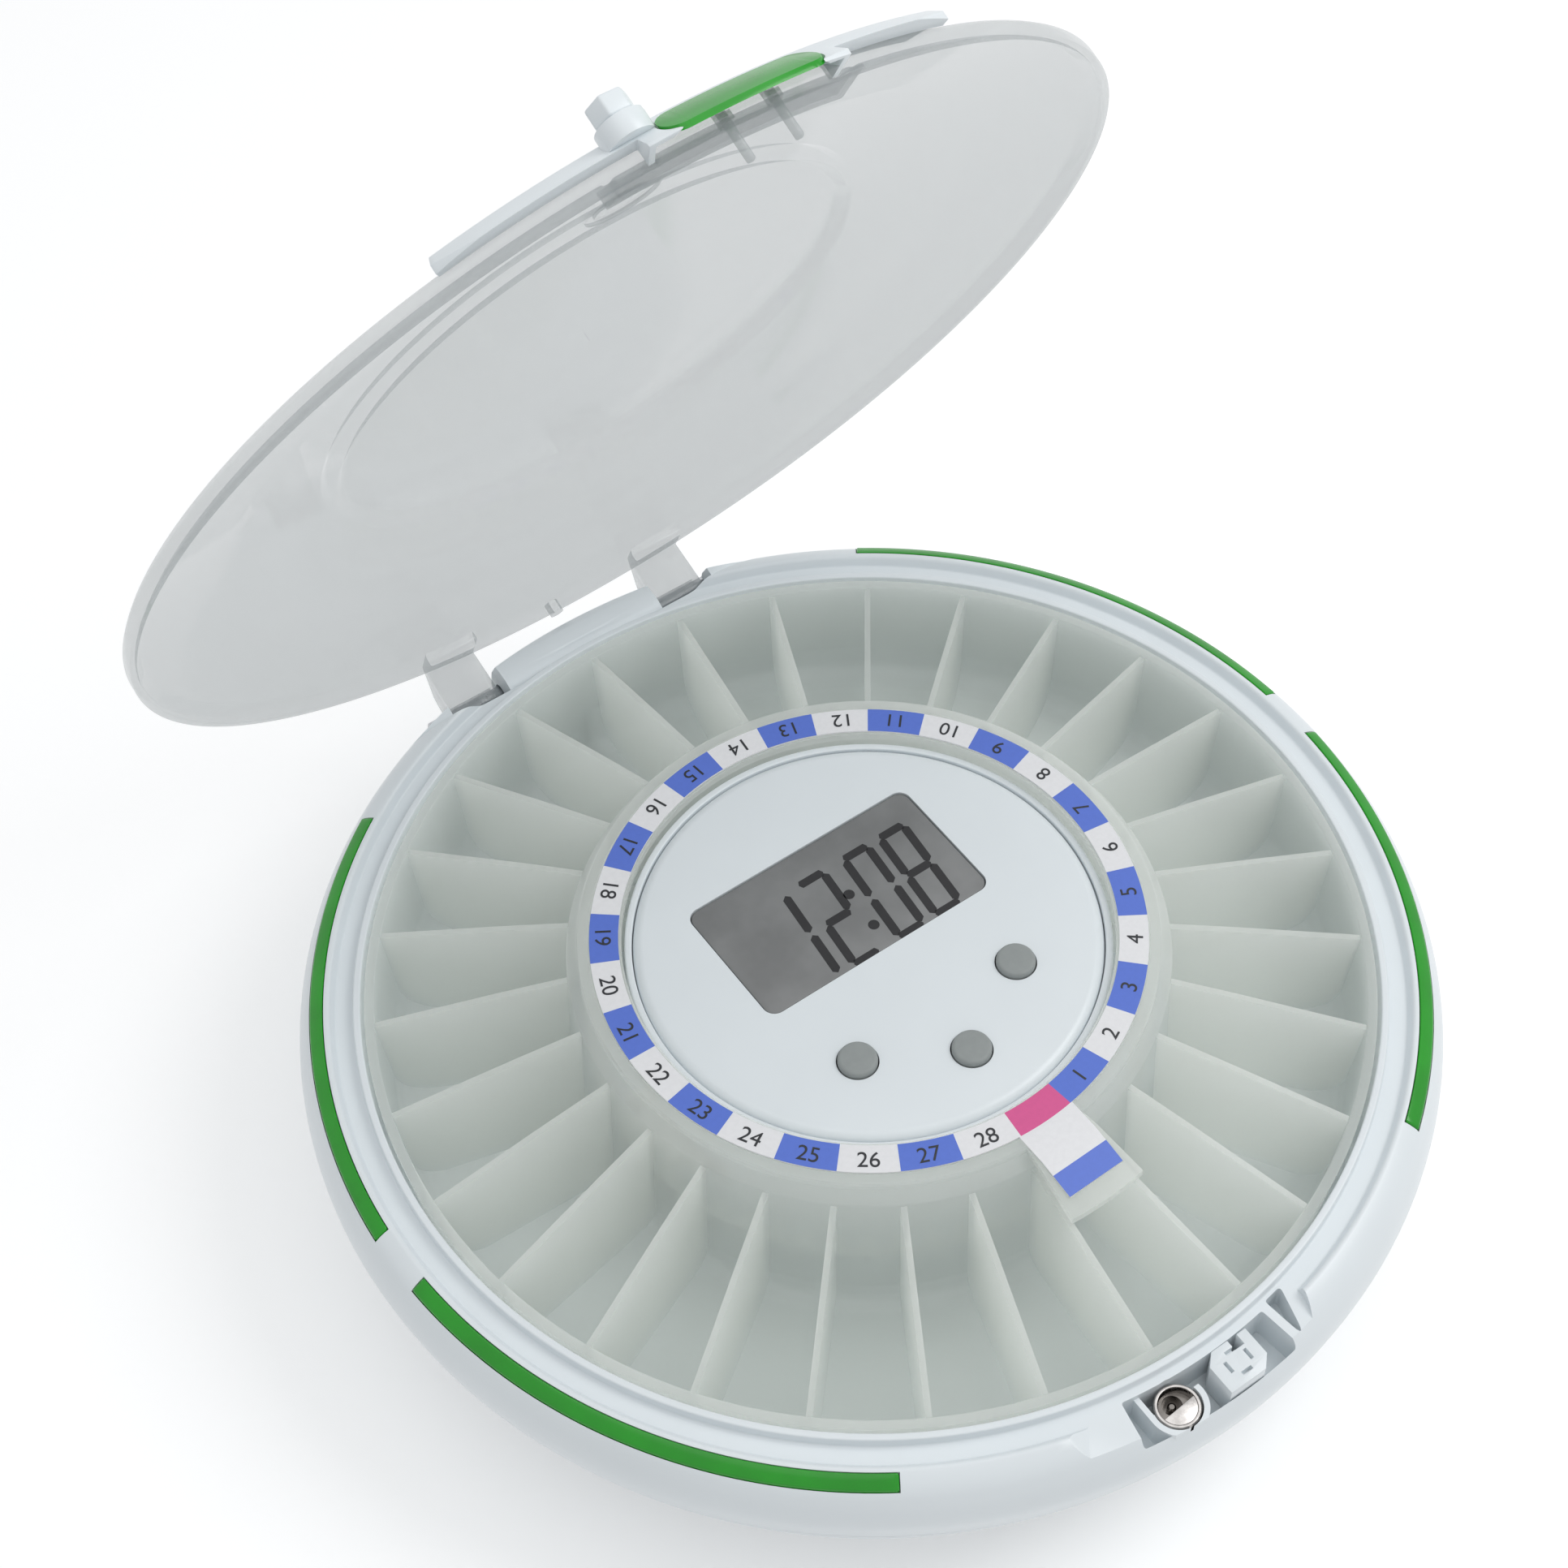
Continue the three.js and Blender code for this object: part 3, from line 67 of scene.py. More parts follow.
# Corners nearer than this are one; edges of a CAD copy flatter than this go; sharper ones stay sharp
MERGE = 0.002
FLAT = radians(1.0)
SHARP = radians(32.0)

# The hinge's axis runs along X through this point; the lid is made shut and swung open by this angle
HINGE_Y = 89.3
HINGE_Z = 32.5
LID_ANGLE = radians(-66.0)
ARM_X = 22.0
SIDES = (-1, 1)

# The tray stands turned by this much, as the motor left it
TRAY_TURN = radians(0.9)

# The upper housing stands on the lower one at this height; the lid's rim runs in the channel
PARTING = 27.0
CHANNEL = 38.4


def linear(code):
    """The colour of an sRGB hex code in the linear values that shading uses."""
    values = [int(code[i : i + 2], 16) / 255.0 for i in (0, 2, 4)]
    return (*[v / 12.92 if v <= 0.04045 else ((v + 0.055) / 1.055) ** 2.4 for v in values], 1.0)


def length(name, description, value):
    return FloatProperty(
        name=name, description=description, default=value * MM, unit="LENGTH", precision=5
    )


def colour(name, description, code):
    return FloatVectorProperty(
        name=name, description=description, subtype="COLOR", size=4, default=linear(code)
    )


class PillBoxHousing(bpy.types.PropertyGroup):
    wall: length("Wall", "Wall of the housing", 2.4)
    groove_depth: length("Groove depth", "How deep the light strips are let in", 1.5)
    strip_gap: length("Strip gap", "Gap round a light strip", 0.12)


class PillBoxTray(bpy.types.PropertyGroup):
    places: IntProperty(name="Places", description="Compartments round the tray", default=PLACES, min=3)
    divider: length("Divider", "Thickness of a divider between compartments", 1.0)
    number_height: length("Number height", "Height of the printed numbers", 2.7)


class PillBoxLid(bpy.types.PropertyGroup):
    arm_width: length("Arm width", "Width of a hinge arm", 9.4)
    knob_radius: length("Knob radius", "Radius over the corners of the key knob", 3.1)


class PillBoxColours(bpy.types.PropertyGroup):
    shell: colour("Shell", "White ABS of the housing", "E6ECEF")
    tray: colour("Tray", "Natural polystyrene of the tray", "FBFDFA")
    lid: colour("Lid", "Clear polystyrene of the lid", "B4BABB")
    label: colour("Label", "Ground of the printed film", "ECECEE")
    field: colour("Field", "Blue fields of the printed film", "5C79D6")
    home: colour("Home field", "Pink field of the printed film", "DC5A96")
    green: colour("Green", "Green of the light strips and the press button", "12980F")
    button: colour("Button", "Grey of the silicone buttons", "969B9A")
    display: colour("Display", "Grey of the liquid crystal display", "808181")
    segment: colour("Segment", "Dark segments of the display", "232224")


# Meshes


def new_object(name, mesh):
    piece = bpy.data.objects.new(name, mesh)
    bpy.context.scene.collection.objects.link(piece)
    return piece


def mesh_from(name, points, faces):
    mesh = bpy.data.meshes.new(name)
    mesh.from_pydata([Vector(p) * MM for p in points], [], faces)
    mesh.validate()
    return new_object(name, mesh)


def close_up(piece):
    """Merges doubled corners and turns every face outwards."""
    work = bmesh.new()
    work.from_mesh(piece.data)
    bmesh.ops.remove_doubles(work, verts=work.verts, dist=MERGE * MM)
    bmesh.ops.recalc_face_normals(work, faces=work.faces)
    work.to_mesh(piece.data)
    work.free()
    return piece


def smooth(piece):
    piece.data.shade_smooth()
    piece.data.set_sharp_from_angle(angle=SHARP)
    return piece


def spot(radius, angle):
    """A point in plan; its angle is counted from the front, anticlockwise seen from above."""
    return (radius * sin(angle), -radius * cos(angle))


def circle(radius, x=0.0, y=0.0, count=48):
    angles = [tau * k / count for k in range(count)]
    return [(x + radius * cos(a), y + radius * sin(a)) for a in angles]


def arc(radius, start, end, steps=24):
    return [spot(radius, start + (end - start) * k / steps) for k in range(steps + 1)]


def sector(inner, outer, start, end, steps=24):
    return arc(outer, start, end, steps) + arc(inner, start, end, steps)[::-1]


def rounded_box(width, depth, corner, x, y, steps=8):
    out = []
    for quarter, (right, back) in enumerate(((1, 1), (-1, 1), (-1, -1), (1, -1))):
        cx = x + right * (width / 2 - corner)
        cy = y + back * (depth / 2 - corner)
        for k in range(steps + 1):
            angle = quarter * pi / 2 + (pi / 2) * k / steps
            out.append((cx + corner * cos(angle), cy + corner * sin(angle)))
    return out


def fillet(profile, radii):
    """Rounds the corners of a closed profile, all by one radius or some by their own."""
    out = []
    for i, corner in enumerate(profile):
        p = Vector(corner)
        size = radii.get(i, 0.0) if isinstance(radii, dict) else radii
        before = Vector(profile[i - 1]) - p
        after = Vector(profile[(i + 1) % len(profile)]) - p
        flat = before.length == 0 or after.length == 0 or before.angle(after) / 2 > STRAIGHT
        if size <= 0 or flat:
            out.append(tuple(p))
            continue
        half = before.angle(after) / 2
        reach = min(size / tan(half), FILLET_SHARE * before.length, FILLET_SHARE * after.length)
        start = p + before.normalized() * reach
        end = p + after.normalized() * reach
        for k in range(FILLET_STEPS + 1):
            t = k / FILLET_STEPS
            out.append(tuple(start.lerp(p, t).lerp(p.lerp(end, t), t)))
    return out


def turned(name, profile, steps=STEPS, start=0.0, sweep=tau):
    """A closed profile of (radius, height) points turned about Z, the whole way round or part of it."""
    full = abs(sweep - tau) < 1e-6
    rings = steps if full else steps + 1
    points, faces = [], []
    count = len(profile)
    for ring in range(rings):
        angle = start + sweep * ring / steps
        points += [(*spot(radius, angle), height) for radius, height in profile]
    for ring in range(steps):
        near, far = ring * count, ((ring + 1) % rings) * count
        for i in range(count):
            j = (i + 1) % count
            faces.append((near + i, near + j, far + j, far + i))
    if not full:
        faces.append(tuple(range(count)))
        faces.append(tuple(reversed(range(steps * count, (steps + 1) * count))))
    return close_up(mesh_from(name, points, faces))


def loft(name, near, far):
    """A solid between two outlines that have the same number of points."""
    count = len(near)
    faces = [tuple(reversed(range(count))), tuple(range(count, 2 * count))]
    for i in range(count):
        j = (i + 1) % count
        faces.append((i, j, count + j, count + i))
    return close_up(mesh_from(name, near + far, faces))


def prism(name, outline, low, high, top=None):
    """A plate between two heights; `top` is its upper outline where that differs from the lower one."""
    return loft(name, [(x, y, low) for x, y in outline], [(x, y, high) for x, y in top or outline])


def side_plate(name, outline, width, x):
    """A plate whose outline lies in the YZ plane."""
    near, far = ([(x + side * width / 2, y, z) for y, z in outline] for side in SIDES)
    return loft(name, near, far)


def rod(name, radius, half, x=0.0, count=48):
    """A round bar on the hinge's axis, this much to either side of x."""
    return side_plate(name, circle(radius, HINGE_Y, HINGE_Z, count), 2 * half, x)


def box(name, low, high):
    outline = [(low[0], low[1]), (high[0], low[1]), (high[0], high[1]), (low[0], high[1])]
    return prism(name, outline, low[2], high[2])


def settle(piece):
    """Turns the piece with its modifiers into a plain mesh."""
    bpy.context.view_layer.update()
    graph = bpy.context.evaluated_depsgraph_get()
    mesh = bpy.data.meshes.new_from_object(piece.evaluated_get(graph), depsgraph=graph)
    mesh.name = piece.name
    old = piece.data
    piece.modifiers.clear()
    piece.data = mesh
    bpy.data.meshes.remove(old)
    return piece


def combine(piece, tools, operation="DIFFERENCE"):
    for tool in tools:
        step = piece.modifiers.new("combine", "BOOLEAN")
        step.operation = operation
        step.solver = "EXACT"
        step.object = tool
        settle(piece)
        bpy.data.objects.remove(tool)
    return piece


def bevel(piece, width, segments=2, angle=50.0):
    step = piece.modifiers.new("edge", "BEVEL")
    step.width = width * MM
    step.segments = segments
    step.limit_method = "ANGLE"
    step.angle_limit = radians(angle)
    step.use_clamp_overlap = True
    return settle(piece)


def join(name, pieces):
    work = bmesh.new()
    for piece in pieces:
        work.from_mesh(piece.data)
    mesh = bpy.data.meshes.new(name)
    work.to_mesh(mesh)
    work.free()
    for piece in pieces:
        bpy.data.objects.remove(piece)
    return new_object(name, mesh)


def copy_of(name, node, bevel_width):
    """A merged copy of a CAD node with its edges broken and its round faces smooth."""
    piece = new_object(name, CAD[node].data.copy())
    work = bmesh.new()
    work.from_mesh(piece.data)
    bmesh.ops.remove_doubles(work, verts=work.verts, dist=MERGE * MM)
    bmesh.ops.dissolve_limit(work, angle_limit=FLAT, verts=work.verts, edges=work.edges)
    work.to_mesh(piece.data)
    work.free()
    return smooth(bevel(piece, bevel_width, angle=35.0))


# Finishes

# Where in the noise a patch of colour or of gloss begins and ends
COLOUR_PATCH = (0.35, 0.65)
GLOSS_PATCH = (0.3, 0.7)


def add_node(tree, kind, settings=(), links=()):
    """Adds a node, sets its properties and inputs, and links outputs of other nodes to its inputs."""
    node = tree.nodes.new(kind)
    for key, value in dict(settings).items():
        if isinstance(key, str) and hasattr(node, key):
            setattr(node, key, value)
        else:
            node.inputs[key].default_value = value
    for key, output in dict(links).items():
        tree.links.new(output, node.inputs[key])
    return node


def start_finish(name, settings):
    """A material with one Principled shader; returns it with its tree and the shader."""
    finish = bpy.data.materials.new(name)
    finish.use_nodes = True
    tree = finish.node_tree
    shader = tree.nodes["Principled BSDF"]
    for key, value in settings.items():
        shader.inputs[key].default_value = value
    return finish, tree, shader


def uneven(name, settings, size, dark, light, gloss=None, tooth=None, detail=2.0):
    """A finish whose colour runs from dark to light in patches `size` mm across.

    `gloss` gives the size of patches of roughness and its two ends, `tooth` the size and height of a
    fine relief.
    """
    finish, tree, shader = start_finish(name, settings)
    ramp = add_node(tree, "ShaderNodeValToRGB")
    for element, position, value in zip(ramp.color_ramp.elements, COLOUR_PATCH, (dark, light)):
        element.position, element.color = position, value
    layers = [(size, detail, ramp, "Fac", "Color", "Base Color")]
    if gloss:
        grain, smoothest, roughest = gloss
        limits = {"From Min": GLOSS_PATCH[0], "From Max": GLOSS_PATCH[1]}
        limits.update({"To Min": smoothest, "To Max": roughest})
        span = add_node(tree, "ShaderNodeMapRange", limits)
        layers.append((grain, 2.0, span, "Value", "Result", "Roughness"))
    if tooth:
        grain, height = tooth
        bump = add_node(tree, "ShaderNodeBump", {"Distance": height * MM, "Strength": 1.0})
        layers.append((grain, 2.0, bump, "Height", "Normal", "Normal"))
    place = add_node(tree, "ShaderNodeTexCoord").outputs["Object"]
    for grain, fine, node, entry, result, socket in layers:
        settings = {"Scale": 1.0 / (grain * MM), "Detail": fine}
        noise = add_node(tree, "ShaderNodeTexNoise", settings, {"Vector": place})
        tree.links.new(noise.outputs["Fac"], node.inputs[entry])
        tree.links.new(node.outputs[result], shader.inputs[socket])
    return finish


def shade(value, factor):
    return (*[c * factor for c in value[:3]], 1.0)


def moulded_abs(name, value):
    """ABS from a polished mould: an even white with a soft gloss that hardly varies."""
    settings = {"IOR": 1.53, "Roughness": 0.3}
    return uneven(name, settings, 14.0, shade(value, 0.985), value, (22.0, 0.29, 0.32))


def clear_styrene(name, value, cover, roughness, glow):
    """Clear moulded polystyrene: most light passes, its milky wall spreads some, the skin is glossy."""
    settings = {"IOR": 1.59, "Roughness": roughness}
    finish = uneven(name, settings, 18.0, shade(value, 0.98), value)
    tree = finish.node_tree
    skin = tree.nodes["Principled BSDF"].outputs[0]
    milk = add_node(tree, "ShaderNodeBsdfTranslucent", {"Color": value})
    body = add_node(tree, "ShaderNodeMixShader", {0: glow}, {1: skin, 2: milk.outputs[0]})
    clear = add_node(tree, "ShaderNodeBsdfTransparent")
    wall = add_node(tree, "ShaderNodeMixShader", {0: cover}, {1: clear.outputs[0], 2: body.outputs[0]})
    tree.links.new(wall.outputs[0], tree.nodes["Material Output"].inputs["Surface"])
    return finish


def printed_film(name, value):
    """Satin polyester film, evenly printed; its tooth is drawn coarser than it is, to show at all."""
    settings = {"IOR": 1.48, "Roughness": 0.42}
    return uneven(name, settings, 0.8, shade(value, 0.97), value, tooth=(0.35, 0.002))


def dyed_acrylic(name, value):
    """Dyed acrylic light guide: deep colour, high gloss, a little light from inside."""
    settings = {"IOR": 1.49, "Roughness": 0.18, "Subsurface Weight": 0.15}
    settings.update({"Subsurface Radius": (0.3, 1.0, 0.2), "Subsurface Scale": 0.8 * MM})
    return uneven(name, settings, 9.0, shade(value, 0.9), shade(value, 1.06))


def silicone(name, value):
    """Moulded silicone keys, matt and soft; their texture is drawn coarser than it is, to show."""
    settings = {"IOR": 1.41, "Roughness": 0.5}
    return uneven(name, settings, 1.5, shade(value, 0.96), value, tooth=(0.25, 0.006))


def display_face(name, value):
    """Polariser over a display without its back light: dull grey with a faint cloudiness."""
    settings = {"IOR": 1.5, "Roughness": 0.38}
    dark, light = shade(value, 0.86), shade(value, 1.08)
    return uneven(name, settings, 9.0, dark, light, tooth=(0.3, 0.002), detail=3.0)


def chromed_zinc(name, value):
    """Chromed zinc of the lock: bright, with the fine marks of its turning."""
    settings = {"Metallic": 1.0, "Roughness": 0.2}
    return uneven(name, settings, 1.2, shade(value, 0.8), value, (0.6, 0.16, 0.28))


def plated_steel(name, value):
    """Zinc-plated steel: dull silver with a soft crystalline mottling."""
    settings = {"Metallic": 1.0, "Roughness": 0.32}
    return uneven(name, settings, 2.0, linear("A9ABAE"), value, (1.0, 0.26, 0.4))


def textured_plastic(name, value, roughness, tooth=0.5):
    """Moulded plastic from a textured mould, with the tooth that the texture leaves."""
    settings = {"IOR": 1.5, "Roughness": roughness}
    return uneven(name, settings, 4.0, shade(value, 0.92), value, tooth=(tooth, 0.01))


# What makes each finish, its material's name, its colour (a property or a hex code) and further values
FINISHES = {
    "shell": (moulded_abs, "moulded_abs", "shell"),
    "tray": (clear_styrene, "natural_styrene", "tray", 0.5, 0.2, 0.58),
    "lid": (clear_styrene, "clear_styrene", "lid", 0.38, 0.06, 0.35),
    "label": (printed_film, "printed_film", "label"),
    "field": (printed_film, "printed_film_blue", "field"),
    "home": (printed_film, "printed_film_pink", "home"),
    "ink": (printed_film, "printing_ink", "26282C"),
    "green": (dyed_acrylic, "dyed_acrylic", "green"),
    "button": (silicone, "silicone_key", "button"),
    "display": (display_face, "display_polariser", "display"),
    "segment": (display_face, "display_segment", "segment"),
    "lock": (chromed_zinc, "chromed_zinc", "BDB9B6"),
    # The lock core's darker zinc is painted shade: the same chrome as the sleeve, darkened for the
    # shade down in the lock's pit
    "lock_core": (chromed_zinc, "worn_zinc", "77736F"),
    "steel": (plated_steel, "zinc_plated_steel", "C3C5C7"),
    "gear": (textured_plastic, "acetal", "E8E7DF", 0.4),
    "dark": (textured_plastic, "black_abs", "2B2D30", 0.5),
    "board": (textured_plastic, "board_laminate", "2C6B3F", 0.35, 0.8),
    "cell": (textured_plastic, "cell_sleeve", "474B50", 0.3, 1.5),
    "rubber": (textured_plastic, "foot_rubber", "3A3C3E", 0.75, 0.3),
}
MADE = {}


def get_finish(name):
    """The finish of this name, made when it is first asked for."""
    if name not in MADE:
        maker, material, code, *values = FINISHES[name]
        colours = bpy.context.scene.pill_box_colours
        value = tuple(getattr(colours, code)) if hasattr(colours, code) else linear(code)
        MADE[name] = maker(material, value, *values)
    return MADE[name]


def finish_piece(piece, body, finish, *nodes):
    """Gives a piece its finish in one slot and its body, and hides the CAD nodes it stands for."""
    piece.data.materials.clear()
    piece.data.materials.append(get_finish(finish))
    for face in piece.data.polygons:
        face.material_index = 0
    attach(piece, body)
    if nodes:
        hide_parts(*nodes)


def spread_round(name, source, count, radius, start, finish):
    """Copies of a piece set round the axis by a Geometry Nodes tree, as one plain mesh."""
    inputs = {
        "Count": ("NodeSocketInt", count),
        "Radius": ("NodeSocketFloat", radius * MM),
        "Start": ("NodeSocketFloat", start),
        "Piece": ("NodeSocketObject", source),
        "Finish": ("NodeSocketMaterial", get_finish(finish)),
    }
    tree = bpy.data.node_groups.new(f"{name}_round", "GeometryNodeTree")
    tree.interface.new_socket("Geometry", in_out="OUTPUT", socket_type="NodeSocketGeometry")
    sockets = {
        label: tree.interface.new_socket(label, in_out="INPUT", socket_type=kind).identifier
        for label, (kind, _) in inputs.items()
    }
    given = add_node(tree, "NodeGroupInput").outputs
    line = add_node(tree, "GeometryNodeMeshLine", {"mode": "OFFSET"}, {"Count": given["Count"]})
    index = add_node(tree, "GeometryNodeInputIndex")
    share = add_node(tree, "ShaderNodeMath", {"operation": "DIVIDE", 0: tau}, {1: given["Count"]})
    angle = add_node(
        tree, "ShaderNodeMath", {"operation": "MULTIPLY_ADD"},
        {0: index.outputs[0], 1: share.outputs[0], 2: given["Start"]},
    )
    sine = add_node(tree, "ShaderNodeMath", {"operation": "SINE"}, {0: angle.outputs[0]})
    cosine = add_node(tree, "ShaderNodeMath", {"operation": "COSINE"}, {0: angle.outputs[0]})
    back = add_node(tree, "ShaderNodeMath", {"operation": "MULTIPLY", 1: -1.0}, {0: cosine.outputs[0]})
    way = add_node(tree, "ShaderNodeCombineXYZ", {}, {"X": sine.outputs[0], "Y": back.outputs[0]})
    place = add_node(
        tree, "ShaderNodeVectorMath", {"operation": "SCALE"},
        {0: way.outputs[0], "Scale": given["Radius"]},
    )
    places = add_node(
        tree, "GeometryNodeSetPosition", {},
        {"Geometry": line.outputs[0], "Position": place.outputs[0]},
    )
    shape = add_node(tree, "GeometryNodeObjectInfo", {}, {"Object": given["Piece"]}).outputs["Geometry"]
    turn = add_node(tree, "ShaderNodeCombineXYZ", {}, {"Z": angle.outputs[0]}).outputs[0]
    copies = add_node(
        tree, "GeometryNodeInstanceOnPoints", {},
        {"Points": places.outputs[0], "Instance": shape, "Rotation": turn},
    )
    real = add_node(tree, "GeometryNodeRealizeInstances", {}, {0: copies.outputs[0]})
    dressed = add_node(
        tree, "GeometryNodeSetMaterial", {},
        {"Geometry": real.outputs[0], "Material": given["Finish"]},
    )
    add_node(tree, "NodeGroupOutput", {}, {0: dressed.outputs[0]})
    piece = new_object(name, bpy.data.meshes.new(name))
    modifier = piece.modifiers.new("round", "NODES")
    modifier.node_group = tree
    for label, (_, value) in inputs.items():
        modifier[sockets[label]] = value
    settle(piece)
    bpy.data.objects.remove(source)
    return piece


# Housing

# Outside of the upper housing, from the parting line up over the shoulder to the crest
EDGE, WIDEST = 93.3, 94.2
SHOULDER = [(EDGE, PARTING), (WIDEST, 31.8), (93.4, 35.6), (91.5, 39.0), (88.2, 40.5)]
# Channel for the lid's rim, lip and wall of the well; outside and top of the hub's tower; underside
WELL = [(87.3, CHANNEL), (84.2, CHANNEL), (84.2, 40.3), (83.0, 40.3), (83.0, 15.5)]
TOWER = [(39.5, 15.5), (39.5, 46.6), (38.3, 46.6), (38.3, 44.3), (36.9, 44.3), (38.3, 13.5)]
UNDER = [(85.0, 13.5), (85.0, 36.0), (89.1, 36.0)]
# Radii of the corners of this profile, by their number in it
UPPER_RADII = {
    1: 14.0, 2: 9.0, 3: 7.0, 4: 0.9, 5: 0.5, 6: 0.4,
    7: 0.35, 8: 0.35, 9: 1.6, 10: 1.0, 11: 0.4, 12: 0.3,
}

# Light strips: name, first and last angle in degrees; their slope lies on the shoulder's curve
STRIPS = [
    ("front_right", 33.5, 85.5),
    ("rear_right", 92.0, 145.0),
    ("rear_left", -145.0, -92.0),
    ("front_left", -85.5, -33.5),
]
STRIP_SLOPE = [(89.1, 40.2), (91.4, 39.0)]
STRIP_END_GAP = radians(0.08)
STRIP_PROUD = 0.12

# Front recess with the walls round it, the pocket beside it and the lock in it; the hole for its shaft
RECESS = (radians(-10.8), radians(7.0))
RECESS_FLOOR = 31.5
RECESS_WALLS = (radians(-11.9), radians(12.4))
POCKET_FLOOR = 33.4
SIDE_POCKET = [(11.82, -84.07), (15.33, -83.51), (12.81, -92.32)]
STEP_RADII = (86.9, 97.3)
LOCK = (-9.1, -88.9)
COLLAR = (3.85, 4.75)
COLLAR_TOP = 37.2
SHAFT_HOLE = 1.7

# Cuts from above end over the crest and past the widest point
OVER = 44.0
PAST = 97.5

# Hinge: bar, room round it in which the lid's edge turns, slots for the arms, holes for the pins
BAR_RADIUS, BAR_HALF = 6.35, 32.8
ROOM_RADIUS, ROOM_HALF, ROOM_TOP = 6.4, 38.0, 42.5
SLOT_HALF, SLOT_FROM, SLOT_FLOOR = 5.7, 84.3, 28.4
PIN_HOLE, PIN_REACH = 1.7, 9.3
# Window in the tower where the pinion meets the tray's teeth, by two opposite corners
PINION_WINDOW = ((-41.5, -12.8, 22.1), (-34.3, 12.8, 27.5))


def strip_section(gap, depth, proud):
    (r1, z1), (r2, z2) = STRIP_SLOPE
    r1, r2 = r1 - gap, r2 + gap
    return [(r1, z1 - depth), (r2, z2 - depth), (r2, z2 + proud), (r1, z1 + proud)]


class PILLBOX_OT_housing(bpy.types.Operator):
    """Upper housing: shoulder, lid channel, well, hub tower, front recess and hinge bar"""

    bl_idname = "pillbox.housing"
    bl_label = "Housing"

    def execute(self, context):
        housing = context.scene.pill_box_housing
        wall, gap, depth = housing.wall / MM, housing.strip_gap / MM, housing.groove_depth / MM
        inside = [(WIDEST - wall, 31.6), (EDGE - wall, PARTING)]
        shell = turned("upper_shell", fillet(SHOULDER + WELL + TOWER + UNDER + inside, UPPER_RADII))
        combine(shell, [self.recess_walls(), self.hinge_bar()], "UNION")
        recess = sector(85.6, 92.8, *RECESS)
        half = len(recess) // 2
        corners = dict.fromkeys((0, half - 1, half, len(recess) - 1), 0.9)
        tools = [
            prism("cut", fillet(recess, corners), RECESS_FLOOR, OVER),
            self.step(),
            prism("cut", fillet(SIDE_POCKET, 0.6), POCKET_FLOOR, OVER),
        ]
        for side in SIDES:
            left, right = side * ARM_X - SLOT_HALF, side * ARM_X + SLOT_HALF
            tools.append(box("cut", (left, SLOT_FROM, SLOT_FLOOR), (right, PAST, ROOM_TOP)))
        room = box("cut", (-ROOM_HALF, SLOT_FROM, HINGE_Z), (ROOM_HALF, PAST, ROOM_TOP))
        tools.append(combine(room, [rod("bar", ROOM_RADIUS, ROOM_HALF + 2.0, count=64)]))
        for _, start, end in STRIPS:
            section = strip_section(gap, depth + gap, 3.0)
            tools.append(turned("cut", section, 48, radians(start), radians(end - start)))
        tools += [rod("cut", PIN_HOLE, PIN_REACH, side * ARM_X, 24) for side in SIDES]
        combine(shell, tools)
        combine(shell, [self.collar()], "UNION")
        tools = [
            prism("cut", circle(COLLAR[0], *LOCK), RECESS_FLOOR, OVER),
            prism("cut", circle(SHAFT_HOLE, *LOCK), 28.0, 32.0),
            box("cut", *PINION_WINDOW),
        ]
        combine(shell, tools)
        finish_piece(smooth(shell), "base", "shell", "upper_housing")
        return {"FINISHED"}

    @staticmethod
    def recess_walls():
        section = [(83.6, 29.5), (92.8, 29.5), (93.6, 33.0), (93.0, 36.2), (91.5, 38.3), (83.6, 38.2)]
        return turned("pocket", section, 32, RECESS_WALLS[0], RECESS_WALLS[1] - RECESS_WALLS[0])

    @staticmethod
    def hinge_bar():
        bar = rod("bar", BAR_RADIUS, BAR_HALF, count=64)
        body = [(0.05, PARTING)] + SHOULDER + [WELL[0], (0.05, CHANNEL)]
        combine(bar, [turned("body", body)], "INTERSECT")
        return combine(bar, [prism("well", circle(83.6, count=STEPS), 20.0, 45.0)])

    @staticmethod
    def step():
        """The cut in the crest by the recess, with a curved end at the right and a ramp at the left."""
        inner, outer = STEP_RADII

        def outline(shift):
            right = []
            for k in range(12):
                t = k / 12
                angle = radians(11.3 - 3.2 * t * t * (3 - 2 * t))
                right.append(spot(inner + (outer - inner) * t, angle))
            front = arc(outer, radians(8.1), radians(-17.0 - shift))
            back = arc(inner, radians(11.3), radians(-14.7 - shift))
            return right + front + back[:0:-1]

        return prism("step", outline(0.0), CHANNEL, 42.6, outline(5.0))

    @staticmethod
    def collar():
        """A ring round the lock that opens towards the well, with one straight arm."""
        (x, y), (inner, outer) = LOCK, COLLAR
        collar = prism("collar", circle(outer, x, y, 64), 31.0, COLLAR_TOP)
        low, high = (x - inner, y + 0.9, RECESS_FLOOR), (x + outer + 1.0, y + outer + 1.0, 39.0)
        combine(collar, [box("mouth", low, high)])
        low, high = (x - outer, y, 31.0), (x - inner, y + 5.25, COLLAR_TOP)
        combine(collar, [box("arm", low, high)], "UNION")
        return combine(collar, [prism("limits", sector(84.2, 93.2, *RECESS), 30.0, 40.0)], "INTERSECT")


class PILLBOX_OT_strips(bpy.types.Operator):
    """Four green light strips let into the shoulder"""

    bl_idname = "pillbox.strips"
    bl_label = "Light strips"

    def execute(self, context):
        depth = context.scene.pill_box_housing.groove_depth / MM
        for name, start, end in STRIPS:
            section = strip_section(0.0, depth, STRIP_PROUD)
            sweep = radians(end - start) - 2 * STRIP_END_GAP
            first = radians(start) + STRIP_END_GAP
            strip = turned(f"light_strip_{name}_guide", section, 72, first, sweep)
            bevel(strip, 0.35, 3)
            finish_piece(smooth(strip), "base", "green", f"light_strip_{name}")
        return {"FINISHED"}


